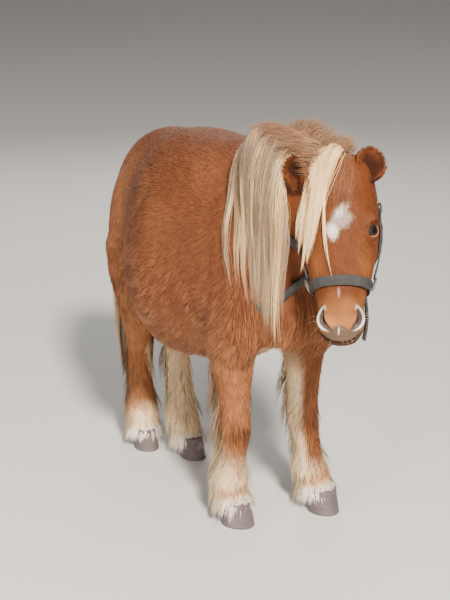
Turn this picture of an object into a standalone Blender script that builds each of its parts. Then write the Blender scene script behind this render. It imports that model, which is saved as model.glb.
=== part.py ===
# Shetland pony, life size, standing with its head turned to its right.
# Metres, +Z up. The pony faces -Y, its left side is +X, and the origin is on the ground
# under the middle of its bounding box.

import math
import random

import bmesh
import bpy
from mathutils import Matrix, Vector
from mathutils.bvhtree import BVHTree

# Driving dimensions, over the winter coat.
CROUP_HEIGHT = 0.852
BARREL_HALF_WIDTH = 0.232
HEAD_LENGTH = 0.385
HEAD_TURN = math.radians(29.5)  # to the pony's right
FACE_LEAN = math.radians(30)  # of the face from the vertical
FACE_ROLL = math.radians(6)  # of the face about its own length, to the pony's right
POLL = Vector((0.016, -0.525, 0.880))
CORONET_HEIGHT = 0.052
HOOF_RADIUS = 0.0365
EYE_RADIUS = 0.0175
GAP = 0.0004  # kept between nodes that meet
TOUCHING = 0.000002  # two points this near each other would be made one
WEBBING_WIDTH = 0.021
WEBBING_THICKNESS = 0.0035

UP = Vector((0, 0, 1))
LEFT = Vector((1, 0, 0))

# The pony is modelled about its withers, and set down about the middle of its bounding box.
ORIGIN_SHIFT = Vector((0.0, 0.1114, 0))


# The scene and its collections.

for old in list(bpy.data.objects):
    bpy.data.objects.remove(old)

pony = bpy.data.collections.new("shetland_pony")
workshop = bpy.data.collections.new("construction")
for collection in (pony, workshop):
    bpy.context.scene.collection.children.link(collection)


def finish_material(name, colour, roughness, metallic=0.0):
    material = bpy.data.materials.new(name)
    material.use_nodes = True
    shader = material.node_tree.nodes["Principled BSDF"]
    shader.inputs["Base Color"].default_value = (*colour, 1)
    shader.inputs["Roughness"].default_value = roughness
    shader.inputs["Metallic"].default_value = metallic
    return material


CHESTNUT = finish_material("chestnut_coat", (0.27, 0.09, 0.035), 0.75)
FLAXEN = finish_material("flaxen_hair", (0.66, 0.52, 0.36), 0.6)
HORN = finish_material("hoof_horn", (0.12, 0.105, 0.11), 0.55)
EYE_DARK = finish_material("eye_dark", (0.02, 0.012, 0.008), 0.08)
WEBBING = finish_material("black_webbing", (0.03, 0.032, 0.04), 0.8)
FITTING = finish_material("halter_fitting", (0.3, 0.3, 0.32), 0.35, 0.9)


# Making and joining meshes.


def new_object(name, mesh, material=None, collection=workshop):
    made = bpy.data.objects.new(name, mesh)
    if material:
        made.data.materials.clear()
        made.data.materials.append(material)
    collection.objects.link(made)
    return made


def object_from(shape, name, material=None, collection=workshop):
    """A bmesh as an object, with its faces pointing out."""
    bmesh.ops.recalc_face_normals(shape, faces=shape.faces)
    if shape.calc_volume(signed=True) < 0:
        bmesh.ops.reverse_faces(shape, faces=shape.faces)
    mesh = bpy.data.meshes.new(name)
    shape.to_mesh(mesh)
    shape.free()
    return new_object(name, mesh, material, collection)


def evaluated_mesh(source):
    bpy.context.view_layer.update()
    graph = bpy.context.evaluated_depsgraph_get()
    return bpy.data.meshes.new_from_object(source.evaluated_get(graph))


def applied(source):
    """Applies the object's modifiers to its own mesh."""
    baked = evaluated_mesh(source)
    source.modifiers.clear()
    source.data = baked
    return source


def scrap(*objects):
    for one in objects:
        bpy.data.objects.remove(one)


def joined(name, pieces, material=None):
    """Several closed meshes in one object, not yet fused."""
    shape = bmesh.new()
    for piece in pieces:
        shape.from_mesh(piece.data)
    made = object_from(shape, name, material)
    scrap(*pieces)
    return made


def surfaces_of(shape):
    """The groups of faces that belong to each separate surface."""
    unseen = set(shape.faces)
    groups = []
    while unseen:
        stack = [unseen.pop()]
        group = set(stack)
        while stack:
            for edge in stack.pop().edges:
                for face in edge.link_faces:
                    if face in unseen:
                        unseen.remove(face)
                        group.add(face)
                        stack.append(face)
        groups.append(group)
    return groups


def box_middle_and_reach(group):
    places = [vert.co for face in group for vert in face.verts]
    low = Vector(min(place[i] for place in places) for i in range(3))
    high = Vector(max(place[i] for place in places) for i in range(3))
    return (low + high) / 2, (high - low).length


def keep_surface(shape, kept):
    bmesh.ops.delete(shape, geom=[f for f in shape.faces if f not in kept], context="FACES")


def keep_largest(made):
    """Leaves only the biggest of the object's separate surfaces."""
    shape = bmesh.new()
    shape.from_mesh(made.data)
    keep_surface(shape, max(surfaces_of(shape), key=lambda group: box_middle_and_reach(group)[1]))
    shape.to_mesh(made.data)
    shape.free()
    return made


def open_edges(mesh):
    shape = bmesh.new()
    shape.from_mesh(mesh)
    count = sum(not edge.is_manifold for edge in shape.edges)
    shape.free()
    return count


LEAST_LEFT = 0.25  # a Boolean that leaves less than this share of a piece's faces has failed


def boolean(made, other, operation):
    """A Boolean by the first of two solvers that leaves a closed body, or else by the better one."""
    results = []
    for solver in ("EXACT", "MANIFOLD"):
        cut = made.modifiers.new(operation.lower(), "BOOLEAN")
        cut.operation = operation
        cut.solver = solver
        cut.object = other
        result = evaluated_mesh(made)
        made.modifiers.clear()
        if len(result.polygons) > LEAST_LEFT * len(made.data.polygons):
            results.append(result)
            if not open_edges(result):
                break
    if not results:
        raise ValueError(f"{made.name} is gone after {operation} with {other.name}")
    made.data = min(results, key=open_edges)
    return made


def fused(core, pieces):
    """One union of a core with a collection of closed pieces, which are then removed."""
    group = bpy.data.collections.new("pieces")
    bpy.context.scene.collection.children.link(group)
    for piece in pieces:
        workshop.objects.unlink(piece)
        group.objects.link(piece)
    union = core.modifiers.new("union", "BOOLEAN")
    union.operation = "UNION"
    union.operand_type = "COLLECTION"
    union.solver = "MANIFOLD"
    union.collection = group
    applied(core)
    scrap(*pieces)
    bpy.data.collections.remove(group)
    return keep_largest(core)


def pulled_apart(made):
    """Draws back the points where two walls of one body touch, so that a gap stays open."""
    shape = bmesh.new()
    shape.from_mesh(made.data)
    shape.normal_update()
    for turn in range(6):
        pairs = bmesh.ops.find_doubles(shape, verts=shape.verts, dist=TOUCHING)["targetmap"]
        for one, other in pairs.items():
            one.co -= one.normal * GAP / 20
            other.co -= other.normal * GAP / (30 + 5 * turn)
    shape.to_mesh(made.data)
    shape.free()


def grown(source, distance, name="grown"):
    """A copy whose surface stands off the source by a distance."""
    shape = bmesh.new()
    shape.from_mesh(source.data)
    shape.normal_update()
    moved = [v.co + v.normal * distance * v.calc_shell_factor() for v in shape.verts]
    for vert, place in zip(shape.verts, moved):
        vert.co = place
    return object_from(shape, name)


# Sections, lofts and ellipsoids.


def between(rows, share):
    """A row of a station table read at a share of its length, on a smooth curve through the rows."""
    place = share * (len(rows) - 1)
    index = min(int(place), len(rows) - 2)
    part = place - index
    before = rows[max(index - 1, 0)]
    start, end = rows[index], rows[index + 1]
    after = rows[min(index + 2, len(rows) - 1)]
    values = []
    for a, b, c, d in zip(before, start, end, after):
        bend = 2 * a - 5 * b + 4 * c - d + part * (3 * (b - c) + d - a)
        values.append(b + 0.5 * part * (c - a + part * bend))
    return values


def section(centre, side, up, half_width, above, below, count=24, square=1.0):
    """A closed ring of points, egg-shaped: it reaches further one way than the other."""
    points = []
    for index in range(count):
        angle = 2 * math.pi * index / count
        c, s = math.cos(angle), math.sin(angle)
        reach = above if s > 0 else below
        across = math.copysign(abs(c) ** square, c) * half_width
        along = math.copysign(abs(s) ** square, s) * reach
        points.append(centre + side * across + up * along)
    return points


def loft(name, rings, material=None):
    """A closed skin over a row of rings with equal counts, each end closed to its middle."""
    shape = bmesh.new()
    rows = [[shape.verts.new(point) for point in ring] for ring in rings]
    count = len(rows[0])
    for first, second in zip(rows, rows[1:]):
        for index in range(count):
            after = (index + 1) % count
            shape.faces.new((first[index], first[after], second[after], second[index]))
    for row in (rows[0], rows[-1]):
        middle = shape.verts.new(sum((v.co for v in row), Vector()) / count)
        for index in range(count):
            shape.faces.new((row[index], row[(index + 1) % count], middle))
    return object_from(shape, name, material)


def ellipsoid(name, centre, axes, radii, segments=16, rings=10):
    """A sphere stretched along three given directions."""
    shape = bmesh.new()
    bmesh.ops.create_uvsphere(shape, u_segments=segments, v_segments=rings, radius=1)
    turn = Matrix([axes[0], axes[1], axes[2]]).transposed()
    stretch = Matrix.Diagonal(Vector(radii))
    for vert in shape.verts:
        vert.co = turn @ (stretch @ vert.co) + centre
    return object_from(shape, name)


BODY_AXES = (LEFT, Vector((0, 1, 0)), UP)

# The head's own directions: down the face, out of the face, and to its left.
FACE_FORWARD = Vector((-math.sin(HEAD_TURN), -math.cos(HEAD_TURN), 0))
DOWN_FACE = FACE_FORWARD * math.sin(FACE_LEAN) - UP * math.cos(FACE_LEAN)
LEVEL_OUT = FACE_FORWARD * math.cos(FACE_LEAN) + UP * math.sin(FACE_LEAN)
LEVEL_LEFT = LEVEL_OUT.cross(DOWN_FACE).normalized()
OUT_OF_FACE = LEVEL_OUT * math.cos(FACE_ROLL) - LEVEL_LEFT * math.sin(FACE_ROLL)
FACE_LEFT = LEVEL_LEFT * math.cos(FACE_ROLL) + LEVEL_OUT * math.sin(FACE_ROLL)
HEAD_AXES = (FACE_LEFT, DOWN_FACE, OUT_OF_FACE)


def on_head(down, left, out):
    """A point in the head's own directions, from the poll."""
    return POLL + DOWN_FACE * down + FACE_LEFT * left + OUT_OF_FACE * out


# The torso. Each station: place along the back, widest height, reach above it, reach below it,
# half width.
TORSO_STATIONS = (
    (-0.455, 0.590, 0.050, 0.060, 0.050),
    (-0.436, 0.588, 0.115, 0.125, 0.105),
    (-0.380, 0.588, 0.190, 0.150, 0.150),
    (-0.290, 0.585, 0.250, 0.175, 0.178),
    (-0.190, 0.572, 0.290, 0.205, 0.200),
    (-0.070, 0.558, 0.306, 0.222, BARREL_HALF_WIDTH),
    (0.040, 0.556, 0.309, 0.222, BARREL_HALF_WIDTH - 0.020),
    (0.130, 0.572, CROUP_HEIGHT - 0.574, 0.190, 0.168),
    (0.210, 0.604, 0.238, 0.150, 0.140),
    (0.285, 0.618, 0.198, 0.143, 0.116),
    (0.343, 0.620, 0.150, 0.133, 0.096),
    (0.385, 0.620, 0.095, 0.090, 0.066),
    (0.405, 0.620, 0.040, 0.040, 0.030),
)


def torso_form():
    rings = []
    steps = 3 * (len(TORSO_STATIONS) - 1)
    for step in range(steps + 1):
        y, z, above, below, half = between(TORSO_STATIONS, step / steps)
        rings.append(section(Vector((0, y, z)), LEFT, UP, half, above, below, 32, 0.94))
    return loft("torso_form", rings)


# The neck, from inside the shoulders to the poll. Each station: centre x, y, z, half width,
# reach above and reach below.
NECK_STATIONS = (
    (0.000, -0.255, 0.665, 0.140, 0.185, 0.210),
    (0.002, -0.330, 0.705, 0.128, 0.182, 0.190),
    (0.004, -0.395, 0.745, 0.108, 0.165, 0.160),
    (0.008, -0.450, 0.780, 0.088, 0.126, 0.130),
    (0.014, -0.500, 0.800, 0.070, 0.078, 0.105),
)
NECK_RING_UP = Vector((0, 0.42, 0.91)).normalized()


def neck_form():
    rings = []
    steps = 2 * (len(NECK_STATIONS) - 1)
    for step in range(steps + 1):
        x, y, z, half, above, below = between(NECK_STATIONS, step / steps)
        rings.append(section(Vector((x, y, z)), LEFT, NECK_RING_UP, half, above, below, 24, 0.92))
    return loft("neck_form", rings)


# The head. Each station: distance down the face, how far the profile stands out, depth to the
# jaw, half width.
HEAD_STATIONS = (
    (-0.025, -0.034, 0.060, 0.042),
    (0.000, -0.008, 0.120, 0.062),
    (0.045, 0.008, 0.158, 0.075),
    (0.095, 0.018, 0.180, 0.082),
    (0.145, 0.015, 0.180, 0.080),
    (0.190, 0.008, 0.158, 0.079),
    (0.235, 0.003, 0.128, 0.068),
    (0.275, 0.001, 0.108, 0.056),
    (0.315, 0.001, 0.096, 0.049),
    (0.350, -0.004, 0.082, 0.044),
    (0.375, -0.018, 0.055, 0.033),
    (HEAD_LENGTH, -0.034, 0.018, 0.014),
)


def head_form():
    rings = []
    steps = 3 * (len(HEAD_STATIONS) - 1)
    for step in range(steps + 1):
        down, out, depth, half = between(HEAD_STATIONS, step / steps)
        centre = on_head(down, 0, out - depth * 0.46)
        rings.append(section(centre, FACE_LEFT, OUT_OF_FACE, half, depth * 0.46, depth * 0.54, 28, 0.86))
    return loft("head_form", rings)


def head_muscles():
    """Cheeks, brows, nostril wings, lips and chin, each a stretched ball."""
    forms = []
    for side in (-1, 1):
        forms += [
            ellipsoid("cheek", on_head(0.140, side * 0.048, -0.096), HEAD_AXES, (0.038, 0.080, 0.064)),
            ellipsoid("brow", on_head(0.128, side * 0.064, -0.020), HEAD_AXES, (0.019, 0.034, 0.022)),
            ellipsoid("cheekbone", on_head(0.195, side * 0.052, -0.048), HEAD_AXES, (0.014, 0.060, 0.016)),
            ellipsoid("nostril_wing", on_head(0.336, side * 0.030, -0.020), HEAD_AXES, (0.019, 0.026, 0.022)),
        ]
    forms += [
        ellipsoid("upper_lip", on_head(0.362, 0, -0.030), HEAD_AXES, (0.036, 0.024, 0.028)),
        ellipsoid("chin", on_head(0.345, 0, -0.078), HEAD_AXES, (0.029, 0.034, 0.020)),
    ]
    return forms


# The legs. Each station: place x, y, z, half width, reach forward, reach back. Each leg is listed
# from inside the body down to the coronet.
FORE_LEG_SIZES = (
    (0.070, 0.080, 0.085),
    (0.058, 0.064, 0.070),
    (0.044, 0.044, 0.046),
    (0.037, 0.037, 0.036),
    (0.036, 0.036, 0.034),
    (0.028, 0.028, 0.031),
    (0.027, 0.027, 0.031),
    (0.034, 0.032, 0.038),
    (0.031, 0.030, 0.034),
    (0.037, 0.037, 0.036),
)
FORE_LEG_HEIGHTS = (0.520, 0.430, 0.345, 0.270, 0.235, 0.185, 0.140, 0.100, 0.075, CORONET_HEIGHT)
HIND_LEG_SIZES = (
    (0.075, 0.110, 0.105),
    (0.070, 0.095, 0.085),
    (0.052, 0.062, 0.056),
    (0.036, 0.040, 0.044),
    (0.032, 0.034, 0.046),
    (0.027, 0.030, 0.032),
    (0.026, 0.027, 0.030),
    (0.032, 0.031, 0.036),
    (0.030, 0.029, 0.032),
    (0.035, 0.035, 0.034),
)
HIND_LEG_HEIGHTS = (0.560, 0.460, 0.375, 0.300, 0.258, 0.205, 0.145, 0.098, 0.073, CORONET_HEIGHT)

# Where each leg's middle runs, as (x, y) at its top, knee or hock, fetlock, and hoof on the ground.
LEG_LINES = {
    "foreleg_right": ((-0.098, -0.275), (-0.090, -0.288), (-0.091, -0.272), (-0.091, -0.290)),
    "foreleg_left": ((0.098, -0.275), (0.090, -0.288), (0.110, -0.296), (0.124, -0.322)),
    "hindleg_right": ((-0.088, 0.235), (-0.052, 0.288), (-0.060, 0.258), (-0.065, 0.236)),
    "hindleg_left": ((0.084, 0.235), (0.032, 0.235), (0.010, 0.158), (0.010, 0.122)),
}
TOE_TURN = {
    "foreleg_right": math.radians(8),
    "foreleg_left": math.radians(-6),
    "hindleg_right": math.radians(-4),
    "hindleg_left": math.radians(6),
}


def leg_tables(name):
    fore = name.startswith("fore")
    heights = FORE_LEG_HEIGHTS if fore else HIND_LEG_HEIGHTS
    sizes = FORE_LEG_SIZES if fore else HIND_LEG_SIZES
    return heights, sizes


def leg_centre(name, height):
    """Middle of a leg at a height, on straight bones joined at the knee or hock and the fetlock."""
    heights = leg_tables(name)[0]
    levels = (heights[0], heights[4], heights[7], 0.0)
    line = LEG_LINES[name]
    for upper, lower, high, low in zip(line, line[1:], levels, levels[1:]):
        if height >= low:
            share = min(max((high - height) / (high - low), 0), 1)
            x, y = (a + (b - a) * share for a, b in zip(upper, lower))
            return Vector((x, y, height))
    return Vector((*line[-1], height))


def leg_directions(name):
    """The leg's own left and forward, from where its toe points."""
    turn = TOE_TURN[name]
    forward = Vector((math.sin(turn), -math.cos(turn), 0))
    return Vector((math.cos(turn), math.sin(turn), 0)), forward


def leg_form(name):
    heights, sizes = leg_tables(name)
    side, forward = leg_directions(name)
    rows = [(height, *size) for height, size in zip(heights, sizes)]
    rings = []
    steps = 3 * (len(rows) - 1)
    for step in range(steps + 1):
        height, half, front, back = between(rows, step / steps)
        rings.append(section(leg_centre(name, height), side, forward, half, front, back, 20))
    # The form runs on a little below the coronet, so that a flat cut leaves a clean end there.
    last = rings[-1]
    rings.append([point - UP * 0.02 for point in last])
    return loft(name + "_form", rings)


def body_muscles():
    """Shoulders, upper arms, the breast, haunches and stifles."""
    forms = [ellipsoid("breast", Vector((0, -0.390, 0.545)), BODY_AXES, (0.120, 0.076, 0.095))]
    for side in (-1, 1):
        forms += [
            ellipsoid("shoulder", Vector((side * 0.104, -0.285, 0.585)), BODY_AXES, (0.072, 0.150, 0.200)),
            ellipsoid("upper_arm", Vector((side * 0.100, -0.285, 0.475)), BODY_AXES, (0.068, 0.098, 0.095)),
            ellipsoid("haunch", Vector((side * 0.073, 0.228, 0.560)), BODY_AXES, (0.076, 0.128, 0.205)),
            ellipsoid("stifle", Vector((side * 0.088, 0.195, 0.480)), BODY_AXES, (0.062, 0.100, 0.110)),
        ]
    return forms


VOXEL = 0.0095
FLESH_FACES = 3100


def flesh_form():
    forms = [torso_form(), neck_form(), head_form(), *head_muscles(), *body_muscles()]
    forms += [leg_form(name) for name in LEG_LINES]
    flesh = joined("flesh", forms, CHESTNUT)
    remesh = flesh.modifiers.new("fuse", "REMESH")
    remesh.mode = "VOXEL"
    remesh.voxel_size = VOXEL
    applied(flesh)
    soften = flesh.modifiers.new("soften", "SMOOTH")
    soften.iterations = 5
    soften.factor = 0.5
    applied(flesh)
    thin = flesh.modifiers.new("thin", "DECIMATE")
    thin.ratio = FLESH_FACES / (2 * len(flesh.data.polygons))
    thin.use_collapse_triangulate = True
    return applied(flesh)


# Finding the surface of the flesh, for what lies on it.


class Surface:
    """The flesh as something to cast rays at and to keep clear of."""

    def __init__(self, source):
        self.tree = BVHTree.FromPolygons(
            [v.co.copy() for v in source.data.vertices], [list(p.vertices) for p in source.data.polygons]
        )

    def seen_from(self, outside, inside):
        """The first point met on the way from outside to inside, and the normal there."""
        place, normal, _, _ = self.tree.ray_cast(outside, (inside - outside).normalized())
        return place, normal

    def height(self, place):
        """How far a point stands off the surface, below zero within it, and the way out."""
        near, normal, _, _ = self.tree.find_nearest(place)
        away = place - near
        side = 1 if away.dot(normal) >= 0 else -1
        way_out = away.normalized() * side if away.length > 1e-5 else normal
        return side * away.length, way_out

    def kept_off(self, place, clearance):
        """The point moved out, where it stands nearer to the surface than the clearance."""
        height, way_out = self.height(place)
        return place + way_out * (clearance - height) if height < clearance else place


# Closed rings of sections, for straps, fittings and lids.


def hoop(name, rings, material=None):
    """A closed tube whose last ring joins its first."""
    shape = bmesh.new()
    rows = [[shape.verts.new(point) for point in ring] for ring in rings]
    count = len(rows[0])
    for first, second in zip(rows, rows[1:] + rows[:1]):
        for index in range(count):
            after = (index + 1) % count
            shape.faces.new((first[index], first[after], second[after], second[index]))
    return object_from(shape, name, material)


def torus(name, centre, normal, radius, wire, material, sides=12, wire_sides=4):
    across = normal.orthogonal().normalized()
    along = normal.cross(across)
    rings = []
    for index in range(sides):
        angle = 2 * math.pi * index / sides
        out = across * math.cos(angle) + along * math.sin(angle)
        rings.append(section(centre + out * radius, out, normal, wire, wire, wire, wire_sides))
    return hoop(name, rings, material)


def sheet(name, inner, outer, material=None):
    """A closed plate between two grids of points, inner and outer, with equal rows."""
    shape = bmesh.new()
    grids = [[[shape.verts.new(point) for point in row] for row in grid] for grid in (inner, outer)]
    rows, columns = len(inner), len(inner[0])
    for grid in grids:
        for i in range(rows - 1):
            for j in range(columns - 1):
                shape.faces.new((grid[i][j], grid[i][j + 1], grid[i + 1][j + 1]))
                shape.faces.new((grid[i][j], grid[i + 1][j + 1], grid[i + 1][j]))
    rim = [(0, j) for j in range(columns - 1)]
    rim += [(i, columns - 1) for i in range(rows - 1)]
    rim += [(rows - 1, j) for j in range(columns - 1, 0, -1)]
    rim += [(i, 0) for i in range(rows - 1, 0, -1)]
    low, high = grids
    for (i, j), (k, m) in zip(rim, rim[1:] + rim[:1]):
        shape.faces.new((low[i][j], low[k][m], high[k][m], high[i][j]))
    return object_from(shape, name, material)


# The ears: cupped shells that stand on the head.

EAR_LENGTH = 0.072
EAR_HALF_WIDTH = 0.031
EAR_DEPTH = 0.020
EAR_THICKNESS = 0.004
EAR_ROWS = 7
EAR_COLUMNS = 7


# Where each ear's root lies: aside, down and out of the face; how it leans: aside and forwards; and
# how far its opening turns aside.
EAR_PLACES = {-1: (0.074, 0.056, -0.024, 0.50, 0.50, 1.10), 1: (0.046, 0.036, -0.040, 0.64, 0.38, 0.30)}


def ear_directions(side):
    """Along an ear, out of its opening, and across."""
    *_, aside, forwards, turn = EAR_PLACES[side]
    along = (DOWN_FACE * -0.90 + OUT_OF_FACE * forwards + FACE_LEFT * side * aside).normalized()
    opening = (OUT_OF_FACE + FACE_LEFT * side * turn).normalized()
    opening = (opening - along * opening.dot(along)).normalized()
    return along, opening, along.cross(opening)


def ear_grid(side, spread):
    """Points of an ear's shell: it is a tube at the root and opens to a leaf."""
    along, opening, across = ear_directions(side)
    aside, down, out, *_ = EAR_PLACES[side]
    root = on_head(down, side * aside, out)
    grid = []
    for row in range(EAR_ROWS):
        share = row / (EAR_ROWS - 1)
        width = EAR_HALF_WIDTH * (0.55 + 0.45 * math.sin(math.pi * min(share / 0.6, 1) / 2)) + spread
        depth = EAR_DEPTH * (1 - 0.5 * share) + spread
        wrap = math.radians(150 - 70 * share)
        middle = root + along * EAR_LENGTH * share + FACE_LEFT * side * -0.010 * share ** 2
        points = []
        for column in range(EAR_COLUMNS):
            angle = wrap * (2 * column / (EAR_COLUMNS - 1) - 1)
            reach = width * math.sqrt(1 - 0.94 * max(share - 0.5, 0) ** 2 * 4)
            points.append(middle + across * reach * math.sin(angle) - opening * depth * math.cos(angle))
        grid.append(points)
    return grid


def ear(side, name, head_room):
    made = sheet(name, ear_grid(side, -EAR_THICKNESS / 2), ear_grid(side, EAR_THICKNESS / 2), CHESTNUT)
    boolean(made, head_room, "DIFFERENCE")
    return keep_largest(made)


# The eyes, each a ball in its socket behind two lids.

LID_THICKNESS = 0.003
EYE_SLIT_WIDTH = 0.0142
EYE_SLIT_HEIGHT = 0.0092


def eye_centre(side):
    return on_head(0.152, side * 0.0600, -0.025)


def eye_directions(side):
    """Out of the eye, towards its inner corner, and up."""
    out = (FACE_LEFT * side + OUT_OF_FACE * 0.80).normalized()
    front = (OUT_OF_FACE + DOWN_FACE * 0.45).normalized()
    front = (front - out * front.dot(out)).normalized()
    up = out.cross(front)
    return out, front, -up if up.z < 0 else up


def lids(side):
    """A thick rim about the eye's slit, which runs on outwards into the head."""
    centre = eye_centre(side)
    out, front, up = eye_directions(side)
    rings = []
    for index in range(16):
        angle = 2 * math.pi * index / 16
        lift = EYE_SLIT_HEIGHT * math.copysign(abs(math.sin(angle)) ** 1.2, math.sin(angle))
        edge = front * EYE_SLIT_WIDTH * math.cos(angle) + up * lift
        far = front * 1.45 * EYE_RADIUS * math.cos(angle) + up * 1.35 * EYE_RADIUS * math.sin(angle)
        inner, outer = [], []
        for share in (0.0, 0.4, 1.0):
            flat = edge.lerp(far, share)
            ray = (flat + out * EYE_RADIUS * (0.95 - 0.55 * share)).normalized()
            inner.append(centre + ray * (EYE_RADIUS - 0.002))
            outer.append(centre + ray * (EYE_RADIUS + LID_THICKNESS * (0.8 if share == 0 else 1)))
        rings.append(inner + outer[::-1])
    return hoop("lids", rings)


def eyeball(side, name):
    centre = eye_centre(side)
    out, front, up = eye_directions(side)
    return ellipsoid(name, centre, (front, up, out), (EYE_RADIUS,) * 3, 12, 8)


# The head's openings.


def nostril_cutter(side):
    axes = (
        (FACE_LEFT * 0.75 + OUT_OF_FACE * side * 0.66).normalized(),
        (DOWN_FACE * 0.9 + FACE_LEFT * side * -0.35).normalized(),
        (OUT_OF_FACE * 0.75 - FACE_LEFT * side * -0.66).normalized(),
    )
    return ellipsoid("nostril", on_head(0.334, side * 0.036, -0.004), axes, (0.0065, 0.0125, 0.016), 10, 7)


MOUTH_DEEP_HALF, MOUTH_OPEN_HALF = 0.0007, 0.0011  # half the height of the slit, deep in and at the lips
MOUTH_SWING = math.radians(78)  # how far the slit runs round to each corner


def mouth_cutter():
    """A thin curved wedge along the line between the lips."""
    inner, outer = [], []
    for column in range(9):
        swing = MOUTH_SWING * (column / 4 - 1)
        c, s = math.cos(swing), math.sin(swing)
        deep = on_head(0.352 - 0.022 * (1 - c), 0.028 * s, -0.070 + 0.018 * c)
        open_end = on_head(0.372 - 0.036 * (1 - c), 0.058 * s, -0.066 + 0.052 * c)
        inner.append([deep - OUT_OF_FACE * MOUTH_DEEP_HALF, open_end - OUT_OF_FACE * MOUTH_OPEN_HALF])
        outer.append([deep + OUT_OF_FACE * MOUTH_DEEP_HALF, open_end + OUT_OF_FACE * MOUTH_OPEN_HALF])
    return sheet("mouth", inner, outer)


# The halter.


def strap_section(place, normal, along, width, rise=0.0):
    """A flat rectangle across a strap that lies on the surface, its underside a little sunk."""
    across = along.cross(normal).normalized() * width / 2
    low = place + normal * (rise - 0.0015)
    high = place + normal * (rise + WEBBING_THICKNESS)
    return [low - across, low + across, high + across, high - across]


def strap_path(surface, centre, first, second, start, stop, count, closed=False):
    """Points and normals met by rays out of a centre, swept in a plane through an angle."""
    places = []
    steps = count if closed else count - 1
    for index in range(count):
        angle = start + (stop - start) * index / steps
        out = first * math.cos(angle) + second * math.sin(angle)
        places.append(surface.seen_from(centre, centre + out))
    return places


def strap(name, path, closed=False, width=WEBBING_WIDTH, rise=0.0):
    rings = []
    last = len(path) - 1
    for index, (place, normal) in enumerate(path):
        if closed:
            along = path[(index + 1) % len(path)][0] - path[index - 1][0]
        else:
            along = path[min(index + 1, last)][0] - path[max(index - 1, 0)][0]
        rings.append(strap_section(place, normal, along.normalized(), width, rise))
    return (hoop if closed else loft)(name, rings, WEBBING)


NOSEBAND_CENTRE = on_head(0.262, 0, -0.055)
NOSEBAND_DROP = (OUT_OF_FACE - DOWN_FACE * 0.06).normalized()
HEADSTALL_CENTRE = on_head(0.062, 0, -0.100)
HEADSTALL_DROP = (DOWN_FACE * 0.96 - OUT_OF_FACE * 0.30).normalized()


def cheek_path(surface, side, count=8):
    """Down the cheek from behind the eye to the noseband."""
    path = []
    for index in range(count):
        share = index / (count - 1)
        down = 0.086 + 0.152 * share
        out = -0.088 + 0.026 * share
        outside = on_head(down, side * 0.25, out)
        path.append(surface.seen_from(outside, on_head(down, 0, out)))
    return path


RING_WIRE = 0.0023  # radius of the wire


def fitting(name, surface, side, down, out, radius):
    """A metal ring that lies over the straps on the cheek."""
    place, normal = surface.seen_from(on_head(down, side * 0.25, out), on_head(down, 0, out))
    lift = WEBBING_THICKNESS + RING_WIRE + GAP
    return torus(name, place + normal * lift, normal, radius, RING_WIRE, FITTING)


STRAP_END_LENGTH = 0.098


def strap_end():
    """The loose end of the chin strap, which hangs beside the muzzle."""
    top = on_head(0.264, 0.046, -0.1021)
    path = []
    for index in range(5):
        share = index / 4
        place = top - UP * STRAP_END_LENGTH * share + FACE_LEFT * 0.006 * math.sin(3 * share)
        path.append((place, (FACE_LEFT - OUT_OF_FACE * 0.3).normalized()))
    return strap("halter_strap_end", path, width=WEBBING_WIDTH * 0.7)


def halter(surface, room):
    straps = [
        strap(
            "halter_noseband",
            strap_path(surface, NOSEBAND_CENTRE, FACE_LEFT, NOSEBAND_DROP, 0, 2 * math.pi, 22, True),
            closed=True,
        )
    ]
    crown = strap_path(surface, HEADSTALL_CENTRE, FACE_LEFT, -HEADSTALL_DROP, -0.02, math.pi + 0.02, 18)
    straps.append(strap("halter_crown_strap", crown))
    throat = strap_path(surface, HEADSTALL_CENTRE, FACE_LEFT, HEADSTALL_DROP, 0.42, math.pi - 0.42, 14)
    straps.append(strap("halter_throat_strap", throat))
    for side, word in ((-1, "right"), (1, "left")):
        straps.append(strap("halter_cheek_strap_" + word, cheek_path(surface, side)))
    made = []
    for one in straps:
        boolean(one, room, "DIFFERENCE")
        for other in made:
            clear_of(one, other)
        made.append(keep_largest(one))
    for side, word in ((-1, "right"), (1, "left")):
        made.append(fitting("halter_nose_ring_" + word, surface, side, 0.252, -0.060, 0.0135))
        made.append(fitting("halter_crown_ring_" + word, surface, side, 0.080, -0.099, 0.0125))
    for ring in made[-4:]:
        for other in made[:-4]:
            clear_of(ring, other)
        keep_largest(ring)
    made.append(strap_end())
    return made


def keep_one_side(made, y, in_front):
    """Cuts away what lies behind an upright plane across the body, or in front of it."""
    reach = 0.5
    middle = Vector((0, y + (reach / 2 if in_front else -reach / 2), 0.7))
    away = slab("away", middle, Vector((0, 1, 0)), LEFT, 1, 1, reach)
    boolean(made, away, "DIFFERENCE")
    scrap(away)


def clear_of(made, other):
    """Cuts one piece so that the gap stays open between it and another."""
    its_room = grown(other, GAP)
    boolean(made, its_room, "DIFFERENCE")
    scrap(its_room)


# The hooves: short cones with flat soles on the ground.


def hoof(name):
    side, forward = leg_directions(name)
    shape = bmesh.new()
    height = CORONET_HEIGHT - GAP
    sole = HOOF_RADIUS * (1.0 if name.startswith("fore") else 0.85)
    bmesh.ops.create_cone(
        shape, cap_ends=True, segments=22, radius1=sole, radius2=sole * 0.84, depth=height
    )
    foot = leg_centre(name, 0)
    for vert in shape.verts:
        ahead = max(-vert.co.y, 0) / HOOF_RADIUS
        low = 0.5 - vert.co.z / height
        x = vert.co.x
        y = -vert.co.y + 0.012 * low * ahead
        vert.co = foot + side * x + forward * (y + 0.004) + UP * (vert.co.z + height / 2)
    return object_from(shape, name.replace("leg_", "hoof_"), HORN)


# Hair that falls over the body.


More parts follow.
